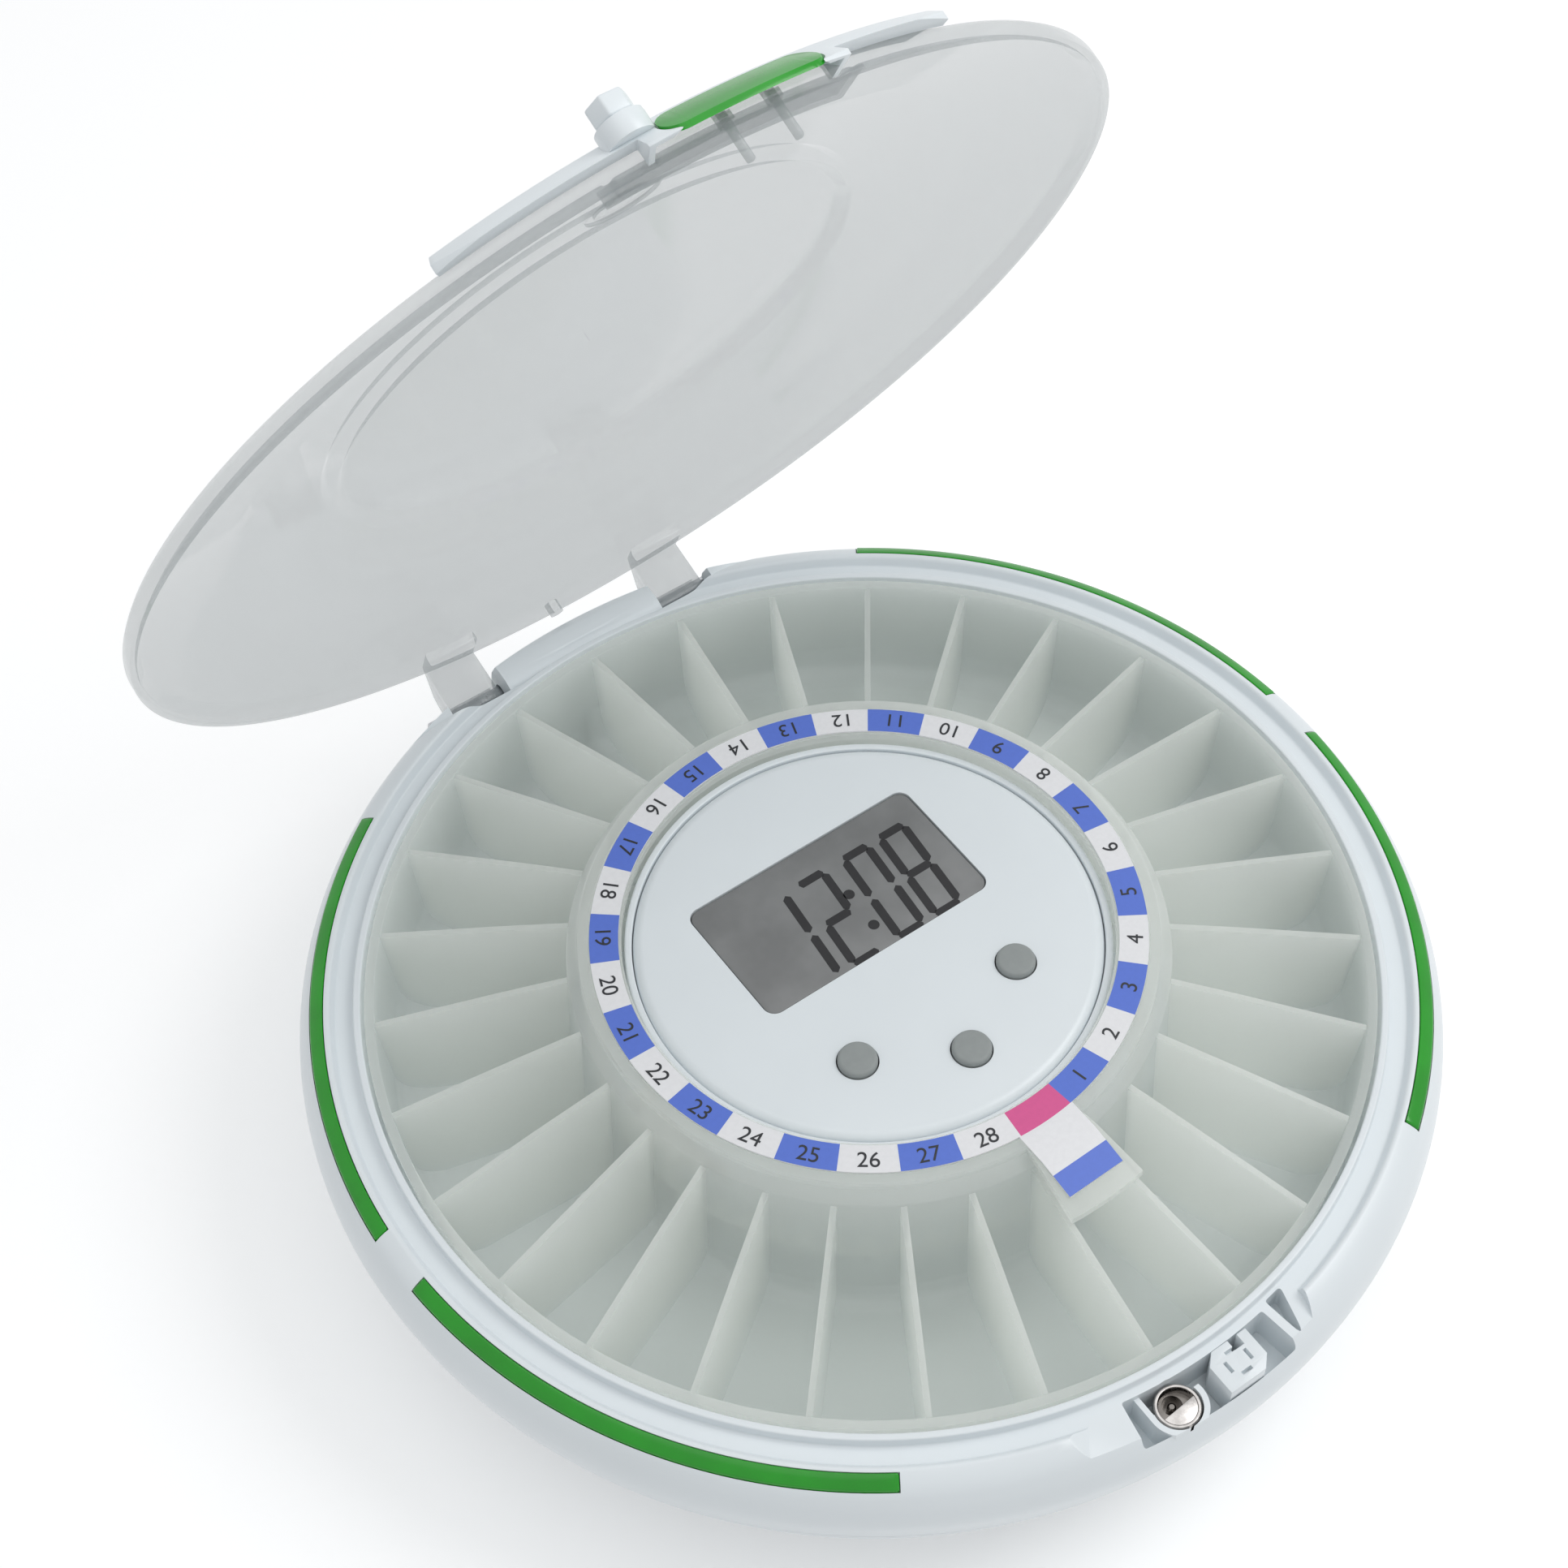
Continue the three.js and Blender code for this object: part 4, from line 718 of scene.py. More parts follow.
# Outside and inside of the lower housing, and the sections of a foot and a screw
LOWER_WALL = [(93.2, 26.7), (92.2, 23.6), (88.0, 13.0), (76.0, 4.45), (62.0, 1.0), (0.01, 1.0)]
LOWER_INSIDE = [(0.01, 3.6), (62.0, 3.6), (85.8, 14.0), (90.8, 26.7)]
LOWER_RADII = {1: 12.0, 2: 14.0, 3: 40.0, 4: 20.0, 7: 3.0, 8: 8.0}
FOOT = [(0.01, 0.0), (4.6, 0.0), (5.4, 0.35), (5.5, 0.95), (0.01, 0.95)]
FOOT_CIRCLE = 54.0
SCREW_HEAD = [(0.9, 1.25), (0.9, 1.0), (2.3, 1.0), (2.6, 1.25), (2.6, 2.0)]
SCREW_SHANK = [(1.2, 2.0), (1.2, 10.2), (0.9, 10.5), (0.01, 10.5), (0.01, 1.25)]
SCREW_CIRCLE = 57.0
SCREW_START = 45.0
# Sink for a screw's head and bore for its shank: radius and top
SCREW_HOLE = ((2.9, 2.3), (1.5, 6.0))
# Opening under the cells and the seat for the door's edge, by two opposite corners
DOOR_OPENING = ((-29.5, -26.3, -2.0), (29.5, 26.3, 6.0))
DOOR_SEAT = ((-30.8, -27.6, -2.0), (30.8, 27.6, 2.5))


class PILLBOX_OT_base(bpy.types.Operator):
    """Lower housing, battery door, feet and housing screws"""

    bl_idname = "pillbox.base"
    bl_label = "Base"

    def execute(self, context):
        bowl = turned("lower_shell", fillet(LOWER_WALL + LOWER_INSIDE, LOWER_RADII))
        tools = [box("cut", *DOOR_OPENING), box("cut", *DOOR_SEAT)]
        for k in range(4):
            place = spot(SCREW_CIRCLE, radians(SCREW_START + 90 * k))
            tools += [prism("cut", circle(radius, *place), -2.0, top) for radius, top in SCREW_HOLE]
        combine(bowl, tools)
        combine(bowl, self.cell_bay(), "UNION")
        finish_piece(smooth(bowl), "base", "shell", "lower_housing")
        finish_piece(copy_of("cell_door", "battery_door", 0.3), "base", "shell", "battery_door")
        foot, screw = turned("foot", FOOT, 40), turned("screw", SCREW_HEAD + SCREW_SHANK, 24)
        for name, source, radius, start, finish, node in (
            ("feet", foot, FOOT_CIRCLE, 0.0, "rubber", "foot"),
            ("housing_screws", screw, SCREW_CIRCLE, radians(SCREW_START), "steel", "housing_screw"),
        ):
            four = spread_round(name, source, 4, radius, start, finish)
            finish_piece(smooth(four), "base", finish, *[f"{node}_{k}" for k in range(1, 5)])
        return {"FINISHED"}

    @staticmethod
    def cell_bay():
        """Walls round the cells and posts for the chassis plate."""
        walls = []
        for side in SIDES:
            near, far = sorted((side * 26.1, side * 27.5))
            walls.append(box("wall", (-25.5, near, 3.2), (25.5, far, 17.1)))
            near, far = sorted((side * 29.5, side * 30.9))
            walls.append(box("wall", (near, -20.0, 3.2), (far, 20.0, 10.3)))
            posts = [circle(2.2, side * 12.0, end * 31.5, 24) for end in SIDES]
            walls += [prism("post", post, 3.2, 17.4) for post in posts]
        return walls


# Tray and its printed ring

# Flange on the hub side, inside of the trough, rim over the lip and underside
TRAY_FLANGE = [
    (39.85, 47.2), (39.85, 48.6), (45.1, 48.6), (45.3, 48.9), (46.9, 48.9), (47.2, 48.6), (47.2, 47.6),
]
TRAY_TROUGH = [
    (49.0, 45.7), (50.3, 22.3), (51.1, 20.2), (53.3, 19.3),
    (74.8, 19.3), (78.3, 20.9), (79.6, 24.1), (80.8, 39.9),
]
TRAY_UNDER = [
    (82.4, 39.9), (82.4, 39.2), (80.9, 24.1), (79.5, 20.2),
    (76.1, 18.1), (47.7, 18.1), (47.0, 45.2), (45.6, 47.2),
]
TRAY_RADII = {
    7: 0.8, 8: 3.0, 9: 2.0, 10: 3.0, 11: 4.0, 12: 4.0, 13: 5.0, 14: 0.3, 18: 2.5, 19: 2.5, 21: 1.0,
}
# The home cover is level to its bend and slopes down from there; the film's tab follows it
HOME_COVER = [(46.6, 47.2), (50.3, 47.2), (60.0, 45.45), (60.0, 46.85), (50.3, 48.6), (46.6, 48.6)]
HOME_BEND = 50.3
HOME_SLOPE = 0.18
HOME_OVERLAP = 0.008
# Radial plate along -Y, seen from the side, from the neck's foot round to its top
DIVIDER = [
    (-49.5, 18.7), (-74.6, 18.7), (-78.2, 20.3), (-80.0, 24.1),
    (-81.2, 39.2), (-80.6, 39.7), (-60.0, 43.5),
    (-48.4, 45.4), (-48.0, 44.6),
]

LABEL_RADII = (40.3, 45.0)
LABEL_LOW = 48.66
LABEL_TOP = 48.95
TAB_END = 56.8
# Print stands this much over and under the film's face
PRINT = 0.02
# Height of a line of type for each millimetre of a figure's height, and half the thickness of its ink
TYPE_SIZE = 1.38
TYPE_INK = 0.03


def tray_piece(piece, finish, *nodes):
    """Turns a piece to the tray's place and finishes it."""
    piece.data.transform(Matrix.Rotation(TRAY_TURN, 4, "Z"))
    finish_piece(piece, "tray", finish, *nodes)


class PILLBOX_OT_tray(bpy.types.Operator):
    """Clear tray: a trough with dividers between its compartments, and drive teeth under its neck"""

    bl_idname = "pillbox.tray"
    bl_label = "Tray"

    def execute(self, context):
        tray = context.scene.pill_box_tray
        trough = turned("tray_trough", fillet(TRAY_FLANGE + TRAY_TROUGH + TRAY_UNDER, TRAY_RADII))
        divider = side_plate("divider", DIVIDER, tray.divider / MM, 0.0)
        dividers = spread_round("dividers", divider, tray.places, 0.0, PLACE_ANGLE / 2, "tray")
        sweep = PLACE_ANGLE + 2 * HOME_OVERLAP
        cover = turned("cover", HOME_COVER, 8, -PLACE_ANGLE / 2 - HOME_OVERLAP, sweep)
        combine(trough, [dividers, cover, self.teeth()], "UNION")
        tray_piece(smooth(trough), "tray", "medicine_tray")
        return {"FINISHED"}

    @staticmethod
    def teeth():
        """Inner teeth of the drive ring, two for each compartment."""
        pitch, tip, root, count = 45.24, 44.07, 46.8, 2 * PLACES
        half_tooth, flank = 1.0, 0.42
        points = []
        for k in range(count):
            middle = pi + pi / count + tau * k / count
            for radius, side in ((root, -1), (tip, -1), (tip, 1), (root, 1)):
                angle = middle + side * (half_tooth + flank * (radius - pitch)) / pitch
                points.append((radius * cos(angle), radius * sin(angle)))
        ring = prism("ring", circle(48.2, count=STEPS), 18.15, 27.3)
        return combine(ring, [prism("gap", points, 10.0, 30.0)])


class PILLBOX_OT_label(bpy.types.Operator):
    """Printed film ring: a numbered field for each compartment, a home field and its tab"""

    bl_idname = "pillbox.label"
    bl_label = "Label ring"

    def execute(self, context):
        height = context.scene.pill_box_tray.number_height / MM
        inner, outer = LABEL_RADII
        ring = [(inner, LABEL_LOW), (outer, LABEL_LOW), (outer, LABEL_TOP), (inner, LABEL_TOP)]
        film = turned("label_film", ring)
        combine(film, [self.tab((44.4, HOME_BEND, TAB_END), LABEL_LOW - LABEL_TOP, 0.0)], "UNION")
        tray_piece(smooth(film), "label", "label_ring")
        numbers = range(1, PLACES)
        blue = [self.field("field", n * PLACE_ANGLE) for n in numbers if n % 2]
        blue.append(self.tab((52.8, TAB_END), -PRINT, PRINT))
        tray_piece(join("label_blue_fields", blue), "field")
        tray_piece(self.field("label_home_field", 0.0), "home")
        middle = (inner + outer) / 2 + 0.1
        digits = [self.number(str(n), n * PLACE_ANGLE, middle, height) for n in numbers]
        tray_piece(join("label_numbers", digits), "ink")
        return {"FINISHED"}

    @staticmethod
    def tab(ends, low, high):
        """The tab of the film over the home cover, between two heights over the film's face."""
        level = [(r, LABEL_TOP - HOME_SLOPE * max(0.0, r - HOME_BEND)) for r in ends]
        outline = [(-r, z + low) for r, z in level] + [(-r, z + high) for r, z in reversed(level)]
        return side_plate("tab", outline, 10.4, 0.0)

    @staticmethod
    def field(name, middle):
        half = PLACE_ANGLE / 2
        outline = sector(*LABEL_RADII, middle - half, middle + half, 8)
        return prism(name, outline, LABEL_TOP - PRINT, LABEL_TOP + PRINT)

    @staticmethod
    def number(text, middle, radius, height):
        """A plain number whose top points to the hub."""
        curve = bpy.data.curves.new("number", "FONT")
        curve.body = text
        curve.size = height * TYPE_SIZE * MM
        curve.align_x = curve.align_y = "CENTER"
        curve.extrude = TYPE_INK * MM
        letter = new_object("number", curve)
        bpy.context.view_layer.update()
        mesh = bpy.data.meshes.new_from_object(letter)
        bpy.data.objects.remove(letter)
        xs = [v.co.x for v in mesh.vertices]
        ys = [v.co.y for v in mesh.vertices]
        centre = Vector(((min(xs) + max(xs)) / 2, (min(ys) + max(ys)) / 2, 0))
        mesh.transform(Matrix.Translation(-centre))
        place = Matrix.Translation(Vector((0, -radius, LABEL_TOP + TYPE_INK)) * MM)
        mesh.transform(Matrix.Rotation(middle, 4, "Z") @ place)
        return new_object("number", mesh)


# Hub

PANEL = [(0.01, 44.6), (38.15, 44.6), (38.15, 46.2), (36.9, 46.95), (30.0, 47.12), (0.01, 47.2)]
# Buttons: name and place; their section has a collar that the panel holds down
BUTTONS = [("left", -15.7, -18.5), ("middle", 0.0, -27.3), ("right", 15.7, -18.5)]
BUTTON = [(0.01, 43.05), (4.1, 43.05), (4.1, 44.25), (3.2, 44.25), (3.2, 48.2), (0.01, 48.2)]
BUTTON_HOLE = 3.42
# Display: width, depth, corner and place; the panel's opening leaves this much room round it
DISPLAY = (43.7, 24.0, 2.0, 0.0, 8.1)
DISPLAY_ROOM = 0.2
# Four bosses under the panel: radius and place
PANEL_BOSS = (2.2, 28.0, 12.0)


class PILLBOX_OT_hub(bpy.types.Operator):
    """Hub panel with the display opening and three grey silicone buttons"""

    bl_idname = "pillbox.hub"
    bl_label = "Hub"

    def execute(self, context):
        panel = turned("hub_cover", fillet(PANEL, {2: 1.2, 3: 2.0}))
        width, depth, corner, x, y = DISPLAY
        room = 2 * DISPLAY_ROOM
        opening = rounded_box(width + room, depth + room, corner + DISPLAY_ROOM, x, y)
        outlines = [opening] + [circle(BUTTON_HOLE, bx, by) for _, bx, by in BUTTONS]
        combine(panel, [prism("cut", outline, 40.0, 50.0) for outline in outlines])
        radius, bx, by = PANEL_BOSS
        outlines = [circle(radius, right * bx, back * by) for right in SIDES for back in SIDES]
        combine(panel, [prism("boss", outline, 39.9, 45.0) for outline in outlines], "UNION")
        finish_piece(smooth(panel), "base", "shell", "hub_panel")
        for name, bx, by in BUTTONS:
            button = turned(f"key_{name}", fillet(BUTTON, {4: 0.7, 1: 0.2, 2: 0.2}), 64)
            button.data.transform(Matrix.Translation(Vector((bx, by, 0)) * MM))
            finish_piece(smooth(button), f"{name}_button", "button", f"button_{name}")
        return {"FINISHED"}


# Display figures: which bars make a figure, where each stands, and the colon's two dots
SEGMENTS = {"0": "abcdef", "1": "bc", "2": "abged", "8": "abcdefg"}
FIGURES = [(-9.75, "1"), (-2.0, "2"), (7.0, "0"), (14.4, "8")]
FIGURE_Y = 5.4
COLON = [(2.1, 8.1), (1.8, 0.9)]
# Half the width and half the height of a figure, half the width of a bar, gap between bars, lean
HALF, TALL, BAR, GAP, LEAN = 2.35, 8.9, 0.75, 0.3, 0.1
FIGURE_LOW, FIGURE_HIGH = 46.88, 46.92


class PILLBOX_OT_display(bpy.types.Operator):
    """Liquid crystal display with the time in seven-segment figures"""

    bl_idname = "pillbox.display"
    bl_label = "Display"

    def execute(self, context):
        face = prism("display_face", rounded_box(*DISPLAY), 45.4, 46.9)
        finish_piece(smooth(bevel(face, 0.2)), "base", "display", "display_window")
        outlines = [self.bar(name, x) for x, figure in FIGURES for name in SEGMENTS[figure]]
        outlines += [circle(0.95, *dot, 24) for dot in COLON]
        bars = [prism("bar", outline, FIGURE_LOW, FIGURE_HIGH) for outline in outlines]
        finish_piece(join("display_figures", bars), "base", "segment")
        return {"FINISHED"}

    @staticmethod
    def bar(name, x):
        """Outline of one bar of a leaning figure; bars a, g and d lie, the others stand."""
        if name in "agd":
            level = {"a": TALL, "g": 0.0, "d": -TALL}[name]
            end = HALF - GAP
            tip = end + BAR * 0.5
            outline = [(-tip, 0), (-end, BAR), (end, BAR), (tip, 0), (end, -BAR), (-end, -BAR)]
            return [(x + px + LEAN * level, FIGURE_Y + level + py) for px, py in outline]
        side = HALF if name in "bc" else -HALF
        level = TALL / 2 if name in "bf" else -TALL / 2
        end = TALL / 2 - GAP - BAR * 0.3
        tip, neck = end + BAR * 0.3, end - 0.4
        outline = [(0, -tip), (BAR, -neck), (BAR, neck), (0, tip), (-BAR, neck), (-BAR, -neck)]
        return [(x + side + px + LEAN * (level + py), FIGURE_Y + level + py) for px, py in outline]


# Lid and what it carries, made as it lies when the lid is shut

LID_RADIUS = 85.9
RIM_TOP = 42.3
LID_OUTSIDE = [
    (LID_RADIUS, 40.0), (LID_RADIUS, RIM_TOP), (84.7, 43.6), (66.1, 49.0), (47.5, 52.6), (45.5, 54.4),
]
LID_MIDDLE = [(0.02, 55.0), (0.02, 53.3)]
LID_INSIDE = [(43.8, 52.7), (45.8, 50.9), (65.2, 47.3), (83.0, 42.4), (84.7, 41.0), (84.7, 40.0)]
LID_RADII = {
    0: 0.3, 1: 1.0, 2: 2.5, 3: 60.0, 4: 1.6, 5: 1.8,
    8: 1.6, 9: 1.4, 10: 60.0, 11: 2.0, 12: 0.8, 13: 0.3,
}
# What joins the lid from below lies between two heights and ends along a section inside the dome's wall
FILL_LOW, FILL_HIGH = 41.4, 52.2
DOME_FILL = [
    (0.02, FILL_LOW), (83.8, FILL_LOW), (83.8, 42.7), (66.1, 48.15), (47.5, 51.7), (0.02, 51.7),
]

# Round boss under the dome, wall round the press button's spring, shelf that reaches out over the catch
BOSS = (-8.5, -58.3)
SPRING_WALL = radians(13.0)
SHELF = (radians(-9.0), radians(8.3))
SHELF_SECTION = [(85.3, 40.0), (89.3, 40.0), (85.9, 42.85), (85.3, RIM_TOP)]
# Press button: its two radii and end angles, then where its hooks stand; place of the key knob
PRESS = (86.0, 91.3, radians(-6.1), radians(5.6))
HOOKS = (-3.6, 3.7)
HOOK_Y = -86.7
KNOB = (-15.0, -85.2)

# Hinge arm: radius of its knuckle, its thickness, how far it reaches into the rim, the bore for its pin
KNUCKLE = 3.4
ARM_THICK = 3.6
ARM_ROOT = 1.9
PIN_BORE = 1.75
# Cutters in plan go through the whole lid
THROUGH = (30.0, 60.0)

# Front cap: first angle and sweep, how far cuts pass its ends and the shelf's, its section, the rooms
# it leaves for the lid and the shelf, what is cut off under its ends, and the circle of its front edge
CAP_START, CAP_SWEEP = radians(-29.0), radians(52.5)
CAP_PAST, SHELF_PAST = 0.02, 0.004
CAP_SECTION = [(79.5, 42.5), (84.7, 40.2), (91.9, 40.2), (84.7, 46.2), (79.5, 46.4)]
CAP_ROOM = [(78.0, 39.0), (86.2, 39.0), (86.2, 42.45), (84.7, 43.9), (78.0, 45.85)]
CAP_SHELF_ROOM = [(85.05, 38.0), (93.1, 38.0), (85.05, 44.71)]
CAP_ENDS = ((-30.0, -9.83), (9.13, 24.5))
CAP_FRONT = (60.65, 31.25, radians(-2.75))
PAD_SECTION = [(94.0, 37.75), (82.0, 47.75), (82.0, 48.7), (94.0, 38.7)]


def lid_piece(piece, body, finish, node):
    """Swings a piece made in the shut lid's place to where the open lid has it, and finishes it."""
    hinge = Matrix.Translation(Vector((0, HINGE_Y, HINGE_Z)) * MM)
    smooth(piece).data.transform(hinge @ Matrix.Rotation(LID_ANGLE, 4, "X") @ hinge.inverted())
    finish_piece(piece, body, finish, node)


def press_plan(margin):
    """The press button's outline in plan: bent with the lid's edge, with a round end at either side."""
    inner, outer, start, end = PRESS
    plan = prism("plan", sector(inner - margin, outer + margin, start, end), *THROUGH)
    middle, half = (inner + outer) / 2, (outer - inner) / 2 + margin
    ends = [prism("end", circle(half, *spot(middle, angle)), *THROUGH) for angle in (start, end)]
    return combine(plan, ends, "UNION")


def press_hooks(margin, low, high):
    wide, deep = 0.55 + margin, 0.6 + margin
    return [box("hook", (x - wide, HOOK_Y - deep, low), (x + wide, HOOK_Y + deep, high)) for x in HOOKS]


class PILLBOX_OT_lid(bpy.types.Operator):
    """Clear domed lid with hinge arms, ring boss, spring wall and the press button's shelf"""

    bl_idname = "pillbox.lid"
    bl_label = "Lid"

    def execute(self, context):
        width = context.scene.pill_box_lid.arm_width / MM
        dome = turned("lid_dome", fillet(LID_OUTSIDE + LID_MIDDLE + LID_INSIDE, LID_RADII))
        parts = [self.arm(side * ARM_X, width) for side in SIDES]
        parts += [self.ring_boss(), self.spring_wall(), self.shelf()]
        parts.append(prism("nub", circle(1.3, 0.0, 87.0, 24), 40.0, RIM_TOP))
        lid_piece(combine(dome, parts, "UNION"), "cover", "lid", "lid")
        return {"FINISHED"}

    @staticmethod
    def ring_boss():
        boss = prism("boss", circle(5.8, *BOSS, 64), 43.6, 52.6)
        below = [(0.02, 40.0), (66.1, 40.0), (66.1, 46.6), (45.8, 50.2), (0.02, 50.2)]
        hole = prism("hole", circle(4.4, *BOSS, 64), 40.0, 60.0)
        combine(boss, [hole, turned("below", below, DOME_STEPS)])
        return combine(boss, [turned("under", DOME_FILL, DOME_STEPS)], "INTERSECT")

    @staticmethod
    def spring_wall():
        inner, thick = 77.0, radians(0.6)
        wall = prism("wall", sector(inner, 78.6, -SPRING_WALL, SPRING_WALL), FILL_LOW, FILL_HIGH)
        for side in (-SPRING_WALL, SPRING_WALL):
            end = sector(inner, 84.6, side - thick, side + thick, 2)
            combine(wall, [prism("end", end, FILL_LOW, FILL_HIGH)], "UNION")
        return combine(wall, [turned("under", DOME_FILL, DOME_STEPS)], "INTERSECT")

    @staticmethod
    def shelf():
        """Carries the press button out over the catch; its two holes let the hooks through."""
        shelf = turned("shelf", SHELF_SECTION, 24, SHELF[0], SHELF[1] - SHELF[0])
        return combine(shelf, press_hooks(0.35, 38.0, 46.0))

    @staticmethod
    def arm(x, width):
        """Hinge arm: level where it leaves the rim, then bent down round the knuckle."""
        rim = sqrt(LID_RADIUS**2 - (ARM_X + width / 2) ** 2) - ARM_ROOT
        low, high = RIM_TOP - 0.4 * ARM_THICK, RIM_TOP + ARM_THICK / 4
        outline = [(rim, low), (rim, high), (HINGE_Y - KNUCKLE / 2, high)]
        for k in range(13):
            t = k / 12
            angle = (pi / 3) * (1 - t)
            reach = KNUCKLE + ARM_THICK * (1 - t)
            outline.append((HINGE_Y + 0.8 * reach * cos(angle), HINGE_Z + reach * sin(angle)))
        for k in range(1, 25):
            angle = -pi * k / 24
            outline.append((HINGE_Y + KNUCKLE * cos(angle), HINGE_Z + KNUCKLE * sin(angle)))
        outline.append((HINGE_Y - KNUCKLE * 0.8, low))
        arm = combine(side_plate("arm", outline, width, x), [rod("bore", PIN_BORE, 8.0, x, 32)])
        return bevel(arm, 0.4)


class PILLBOX_OT_lid_front(bpy.types.Operator):
    """White front cap, green press button with its latch hooks, and the key knob"""

    bl_idname = "pillbox.lid_front"
    bl_label = "Lid front"

    def execute(self, context):
        corners = circle(context.scene.pill_box_lid.knob_radius / MM, *KNOB, 6)
        lid_piece(bevel(self.cap(), 0.25), "cover", "shell", "lid_front_cap")
        lid_piece(bevel(self.pad(), 0.35, 3), "press", "green", "press_button")
        hooks = join("press_hooks", press_hooks(0.0, 34.4, 43.6))
        lid_piece(bevel(hooks, 0.25), "press", "lid", "press_button")
        knob = prism("lock_knob", corners, 46.9, 50.0)
        lid_piece(bevel(knob, 0.35, 3), "knob", "shell", "key_knob")
        return {"FINISHED"}

    @staticmethod
    def cap():
        """A crescent over the lid's front edge, sloping over the shelf, open for the press button."""
        section = fillet(CAP_SECTION, {2: 0.4, 3: 1.8, 4: 0.6})
        cap = turned("front_cap", section, 96, CAP_START, CAP_SWEEP)
        radius, reach, lean = CAP_FRONT
        combine(cap, [prism("front", circle(radius, *spot(reach, lean), 320), *THROUGH)], "INTERSECT")
        combine(cap, [prism("boss", circle(3.6, *KNOB), 43.5, 46.6)], "UNION")
        shelf_sweep = SHELF[1] - SHELF[0] + 2 * SHELF_PAST
        tools = [
            turned("room", CAP_ROOM, 96, CAP_START - CAP_PAST, CAP_SWEEP + 2 * CAP_PAST),
            turned("under_skin", CAP_SHELF_ROOM, 36, SHELF[0] - SHELF_PAST, shelf_sweep),
            press_plan(0.3),
        ]
        for first, last in CAP_ENDS:
            tools.append(prism("end", sector(66.0, 97.0, radians(first), radians(last)), 38.0, 42.9))
        return combine(cap, tools)

    @staticmethod
    def pad():
        """The plate that is pressed: a layer on the cap's slope with a round end at either side."""
        pad = turned("press_pad", PAD_SECTION, 48, radians(-14.0), radians(28.0))
        return combine(pad, [press_plan(0.0)], "INTERSECT")


# Latch

LOCK_SLEEVE = [(2.8, 31.9), (3.6, 31.9), (3.6, 36.8), (3.4, 37.05), (3.05, 37.05), (2.85, 36.6)]
LOCK_CORE = [(0.01, 27.4), (1.4, 27.4), (1.4, 31.8), (2.82, 31.8), (2.82, 35.4), (0.01, 35.4)]
LOCK_PIN = [(0.01, 33.0), (0.7, 33.0), (0.7, 34.8), (0.4, 35.1), (0.01, 35.1)]
LOCK_TURN = radians(4.0)
# Catch block: place, half its width and depth, cut of its corners and its top
CATCH = (2.1, -89.2)
CATCH_WIDE, CATCH_DEEP, CATCH_CUT, CATCH_TOP = 4.2, 3.35, 1.8, 39.0


class PILLBOX_OT_latch(bpy.types.Operator):
    """Chromed lock cylinder, catch block, the lever under the tray and the hinge pins"""

    bl_idname = "pillbox.latch"
    bl_label = "Latch"

    def execute(self, context):
        place = Matrix.Translation(Vector((*LOCK, 0)) * MM) @ Matrix.Rotation(LOCK_TURN, 4, "Z")
        # The sleeve takes the bright chrome; the core takes the same chrome darkened, as painted shade
        # in the pit
        for piece, finish in ((self.barrel(), "lock"), (self.heart(), "lock_core")):
            piece.data.transform(place)
            finish_piece(smooth(piece), "lock", finish, "lock_cylinder")
        finish_piece(smooth(bevel(self.block(), 0.2)), "base", "shell", "catch_block")
        lever = copy_of("tray_lever", "tray_catch_lever", 0.25)
        finish_piece(lever, "base", "shell", "tray_catch_lever")
        for side in ("left", "right"):
            pin = copy_of(f"pin_{side}", f"hinge_pin_{side}", 0.2)
            finish_piece(pin, "base", "steel", f"hinge_pin_{side}")
        return {"FINISHED"}

    @staticmethod
    def barrel():
        """The bright sleeve of the lock with a face over its front half."""
        lock = turned("lock_sleeve", LOCK_SLEEVE, 64)
        moon = prism("moon", circle(2.95, count=64), 34.4, 36.95)
        combine(moon, [box("half", (-6.0, -0.3, 30.0), (6.0, 6.0, 40.0))])
        return bevel(combine(lock, [moon], "UNION"), 0.12)

    @staticmethod
    def heart():
        """The core behind that face: a round hole with a pin for the tubular key; its darker zinc is
        painted shade of the pit.
        """
        heart = turned("lock_core", LOCK_CORE, 64)
        hole = prism("hole", circle(1.6, 0.0, 1.0, 32), 33.2, 40.0)
        combine(heart, [hole, box("half", (-6.0, -6.0, 31.85), (6.0, -0.35, 40.0))])
        pin = turned("pin", LOCK_PIN, 24)
        pin.data.transform(Matrix.Translation(Vector((0, 1.0, 0)) * MM))
        return join("lock_heart", [heart, pin])

    @staticmethod
    def block():
        """Catch block with two cut corners, four slots in its top and a notch for the right hook."""
        (x, y), wide, deep, cut, top = CATCH, CATCH_WIDE, CATCH_DEEP, CATCH_CUT, CATCH_TOP
        right = [(-wide, -deep), (wide - cut, -deep), (wide, cut - deep)]
        left = [(wide, deep), (cut - wide, deep), (-wide, deep - cut)]
        block = prism("catch", [(x + px, y + py) for px, py in right + left], 31.8, top)
        tools = []
        for across, along in ((0, 1), (0, -1), (1, 0), (-1, 0)):
            px, py = x + 1.9 * across, y + 1.9 * along
            long, short = (0.95, 0.3) if across == 0 else (0.3, 0.95)
            low, high = (px - long, py - short, top - 1.4), (px + long, py + short, top + 1.0)
            tools.append(box("slot", low, high))
        notch = HOOKS[1]
        low, high = (notch - 0.9, HOOK_Y - 0.95, 31.0), (notch + 0.9, y + deep + 1.0, top + 1.0)
        return combine(block, tools + [box("notch", low, high)])


INNER_FINISHES = {
    "gear": ["drive_pinion", "gearbox"],
    "steel": ["gear_motor", "contact_plate_rear", "contact_plate_front", "lock_clip"],
    "dark": ["display_module", "chassis_plate", "buzzer", "tray_switch"],
    "board": ["main_board"] + [f"light_board_{name}" for name, _, _ in STRIPS],
    "cell": [f"battery_{k}" for k in range(1, 5)],
}


